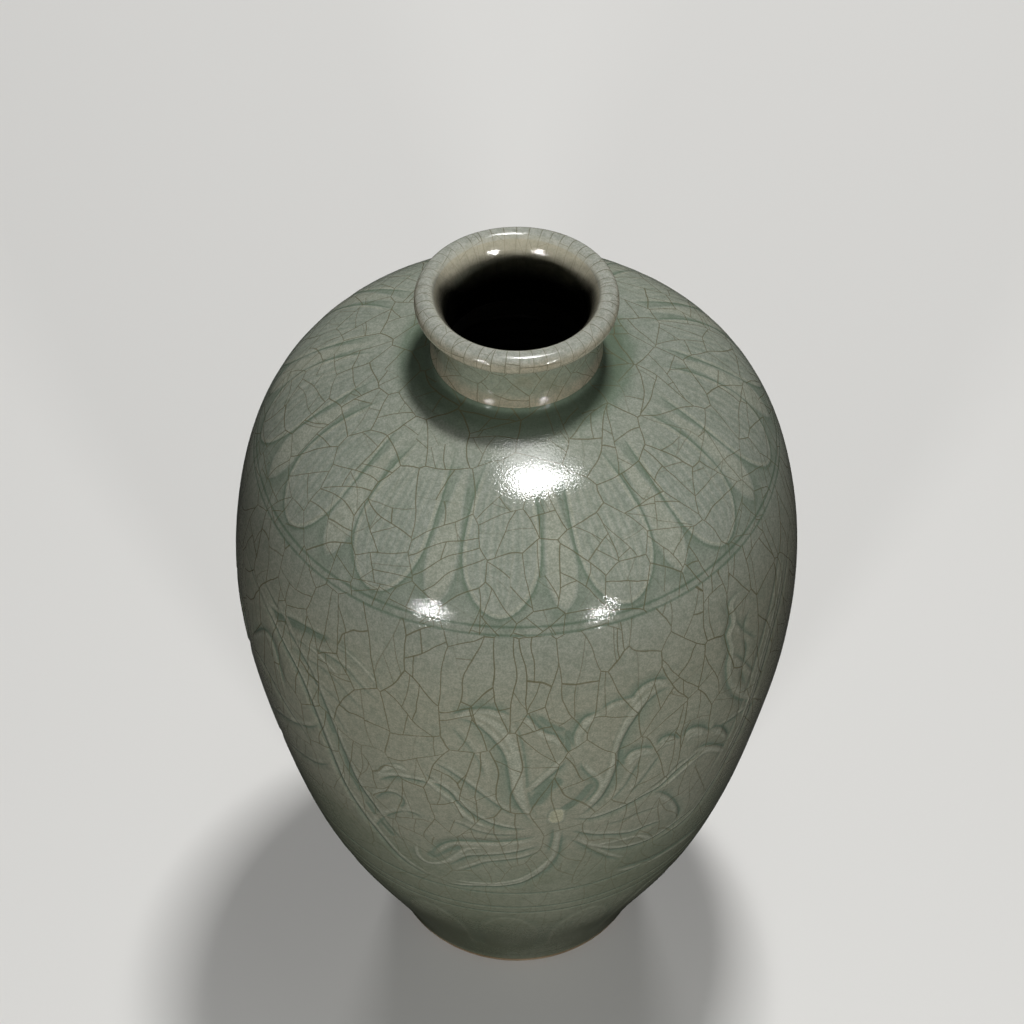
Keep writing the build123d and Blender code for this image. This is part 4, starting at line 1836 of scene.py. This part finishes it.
def inner_material():
    """The coat inside: thinner, and painted dark all over as painted shade, with darker clouds over it."""
    material, tree, shader = fresh_material("inner_celadon_painted_shade")
    where = place(tree, "ShaderNodeTexCoord")["Object"]
    along = attribute(tree, "along")
    strong, faint = climbing_cracks(tree, where, along, inside_cracks, storey_height, inside_crack)
    cloud = noise(tree, where, *inside_clouds)
    # Darker clouds over the inside's painted shade
    shade_clouds = cloud.from_to(0.35, 0.7) * 0.7, inside_shade_cloud_colour
    cracked = faint.most(strong) * 0.15, crack_colour
    ground = layered(tree, painted_inside_shade, shade_clouds, cracked)
    glaze_finish(tree, shader, where, ground, dulled)
    return material


def base_material():
    """The coat under the base, as the body's where it runs thin."""
    material, tree, shader = fresh_material("celadon_under_the_base")
    where = place(tree, "ShaderNodeTexCoord")["Object"]
    spot = parts_of(tree, where)
    strong, faint = netted_cracks(tree, where, spot[0] / MM, spot[1] / MM, base_piece_width, shoulder_crack)
    cloud = noise(tree, where, *base_clouds)
    pooled = cloud.from_to(0.35, 0.7) * 0.6, pooled_glaze
    cracked = faint.most(strong) * 0.6, crack_colour
    ground = layered(tree, plain_glaze, pooled, cracked)
    glaze_finish(tree, shader, where, ground)
    return material


def clay_material():
    """Fired stoneware: warm grey-brown, gritty, toasted where it meets the glaze."""
    material, tree, shader = fresh_material("fired_stoneware")
    where = place(tree, "ShaderNodeTexCoord")["Object"]
    cloud = noise(tree, where, *clay_clouds)
    grit = noise(tree, where, *clay_grit)
    height = parts_of(tree, where)[2]
    ground = layered(
        tree,
        biscuit_colour,
        (cloud.from_to(0.3, 0.7), biscuit_pale),
        (grit.from_to(0.62, 0.72) * 0.6, grit_colour),
        (height.from_to(*levels(toasted_heights)) * 0.5, toasted_colour),
    )
    feed(tree, shader, "Base Color", ground)
    feed(tree, shader, "Roughness", 0.75 + grit * 0.15)
    feed(tree, shader, "Normal", fine_relief(tree, 0.5, clay_relief, grit + cloud * 0.5))
    return material


# Pieces

clay = clay_material()
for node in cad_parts.values():
    node.data.materials.clear()
    node.data.materials.append(clay)

for maker, material in (
    (body_glaze, body_material()),
    (neck_and_lip_glaze, neck_material()),
    (inner_coat, inner_material()),
    (base_coat, base_material()),
    (bare_foot, clay),
):
    made = maker()
    made.data.materials.append(material)


# Stage, camera and light

floor_reach = 4000
pale_floor = colour(226, 225, 222)
dim_floor = colour(24, 24, 23)


# Lamps: where they stand and where they are aimed, in millimetres, and how wide they are
world_strength = 0.01
overhead_place = (235, 525, 2150)
overhead_aim = (0, 0, 300)
overhead_size = (320, 170)
overhead_strength = 172.0
behind_place = (0, 2600, 620)
behind_aim = (0, 0, 200)
behind_size = (700, 400)
behind_strength = 42.0
front_place = (479, -1315, 490)
front_aim = (0, 0, 260)
front_size = (150, 60)
front_strengths = {"left": 243.0, "right": 250.0}
front_card_places = {"left": (-738, -1200, 352), "right": (712, -1200, 345)}
front_card_size = (165, 27)
front_card_strength = 185.0
mouth_card_place = (68, -101, 358)
mouth_card_aim = (-9, 27, 336)
mouth_card_radius = 10.5
mouth_card_spread = 40
mouth_card_edge_share = 0.6
mouth_card_strength = 0.45
gloss_card_aim = (9, -59, 303)
gloss_cards = {
    "gloss_card": ((140, -88, 2150), (390, 350), 45.0),
    "gloss_card_small": ((420, -20, 2150), (190, 220), 22.0),
    "gloss_card_wide": ((112, 195, 2150), (480, 500), 6.0),
}
camera_reach = 20000


def seen_by_camera(tree):
    """One for what the camera sees straight or through glass, and nothing for the light itself."""
    seen = place(tree, "ShaderNodeLightPath")
    return seen["Is Camera Ray"].most(seen["Is Transmission Ray"])


def stage_floor():
    """A plain pale floor, which throws less light up than it shows, as the dark cloth in the photograph."""
    mesh = bpy.data.meshes.new("pale_floor")
    corners = [(-1, -1), (1, -1), (1, 1), (-1, 1)]
    reach = floor_reach * MM
    mesh.from_pydata([(x * reach, y * reach, 0) for x, y in corners], [], [(0, 1, 2, 3)])
    floor = bpy.data.objects.new("pale_floor", mesh)
    bpy.context.scene.collection.objects.link(floor)
    material, tree, shader = fresh_material("plain_pale_floor")
    feed(tree, shader, "Base Color", blended(tree, seen_by_camera(tree), dim_floor, pale_floor))
    feed(tree, shader, "Roughness", 0.8)
    floor.data.materials.append(material)


def aimed(holder, start, way):
    """Stands a lamp or the camera at its place, looking one way. Both are in metres."""
    holder.location = start
    holder.rotation_euler = Vector(way).to_track_quat("-Z", "Y").to_euler()
    bpy.context.scene.collection.objects.link(holder)
    return holder


def lamp_object(name, light, place_mm, aim_mm):
    """A lamp where it stands, aimed at a point."""
    start = np.array(place_mm, float) * MM
    return aimed(bpy.data.objects.new(name, light), start, np.array(aim_mm, float) * MM - start)


def soft_lamp(name, place_mm, aim_mm, size, strength, shines=False, shape="RECTANGLE"):
    """A soft lamp of some width and depth in millimetres; strength is how bright its face is.

    One that shines is seen in the glaze and doesn't light the vase; any other lights it and isn't seen."""
    width, depth = size
    light = bpy.data.lights.new(name, "AREA")
    light.shape = shape
    light.size = width * MM
    light.size_y = depth * MM
    light.energy = strength * width * depth * MM * MM * math.pi
    holder = lamp_object(name, light, place_mm, aim_mm)
    holder.visible_glossy = shines
    holder.visible_diffuse = not shines
    return holder


def snoot_lamp(name, place_mm, aim_mm, strength):
    """A small round lamp behind a snoot, which shines only in the glaze where it is aimed."""
    light = bpy.data.lights.new(name, "SPOT")
    reach = math.dist(place_mm, aim_mm)
    light.spot_size = 2 * math.atan(mouth_card_spread / 2 / reach)
    light.spot_blend = mouth_card_edge_share
    light.shadow_soft_size = mouth_card_radius * MM
    light.energy = strength
    holder = lamp_object(name, light, place_mm, aim_mm)
    holder.visible_diffuse = False
    holder.visible_camera = False
    return holder


def mirrored(place_mm, sideways):
    """A place on the right, or the same on the left where sideways is minus one."""
    return (sideways * place_mm[0], *place_mm[1:])


def set_camera():
    """The photograph's view."""
    data = bpy.data.cameras.new("camera")
    data.sensor_width = sensor_width
    data.lens = photo_focal_length / photo_size * sensor_width
    data.shift_x = (photo_size / 2 - photo_axis_column) / photo_size
    data.clip_end = camera_reach * MM
    bpy.context.scene.camera = aimed(bpy.data.objects.new("camera", data), camera_place * MM, sight_line)


def set_world(strength):
    """Even light from all round, and the same pale colour where the floor ends."""
    world = bpy.data.worlds.new("studio")
    bpy.context.scene.world = world
    world.use_nodes = True
    tree = world.node_tree
    tree.nodes.clear()
    direct = seen_by_camera(tree)
    plain = place(tree, "ShaderNodeBackground", {}, {"Color": (1, 1, 1, 1), "Strength": strength})
    shown = place(tree, "ShaderNodeBackground", {}, {"Color": pale_floor, "Strength": 1.0})
    mix = place(tree, "ShaderNodeMixShader", {}, {0: direct, 1: plain, 2: shown})
    end = tree.nodes.new("ShaderNodeOutputWorld")
    tree.links.new(mix.node.outputs[0], end.inputs["Surface"])


def set_lamps():
    """The light on the vase, and what shines in its glaze."""
    soft_lamp("overhead", overhead_place, overhead_aim, overhead_size, overhead_strength)
    soft_lamp("behind", behind_place, behind_aim, behind_size, behind_strength)
    for side, sideways in (("left", -1), ("right", 1)):
        front = mirrored(front_place, sideways)
        soft_lamp("front_" + side, front, front_aim, front_size, front_strengths[side])
        card = front_card_places[side]
        soft_lamp("front_card_" + side, card, front_aim, front_card_size, front_card_strength, shines=True)
        mouth = mirrored(mouth_card_place, sideways)
        snoot_lamp("mouth_card_" + side, mouth, mirrored(mouth_card_aim, sideways), mouth_card_strength)
    for name, (card, size, strength) in gloss_cards.items():
        soft_lamp(name, card, gloss_card_aim, size, strength, shines=True, shape="ELLIPSE")


stage_floor()
set_camera()
set_world(world_strength)
set_lamps()
bpy.context.scene.view_settings.view_transform = "Standard"
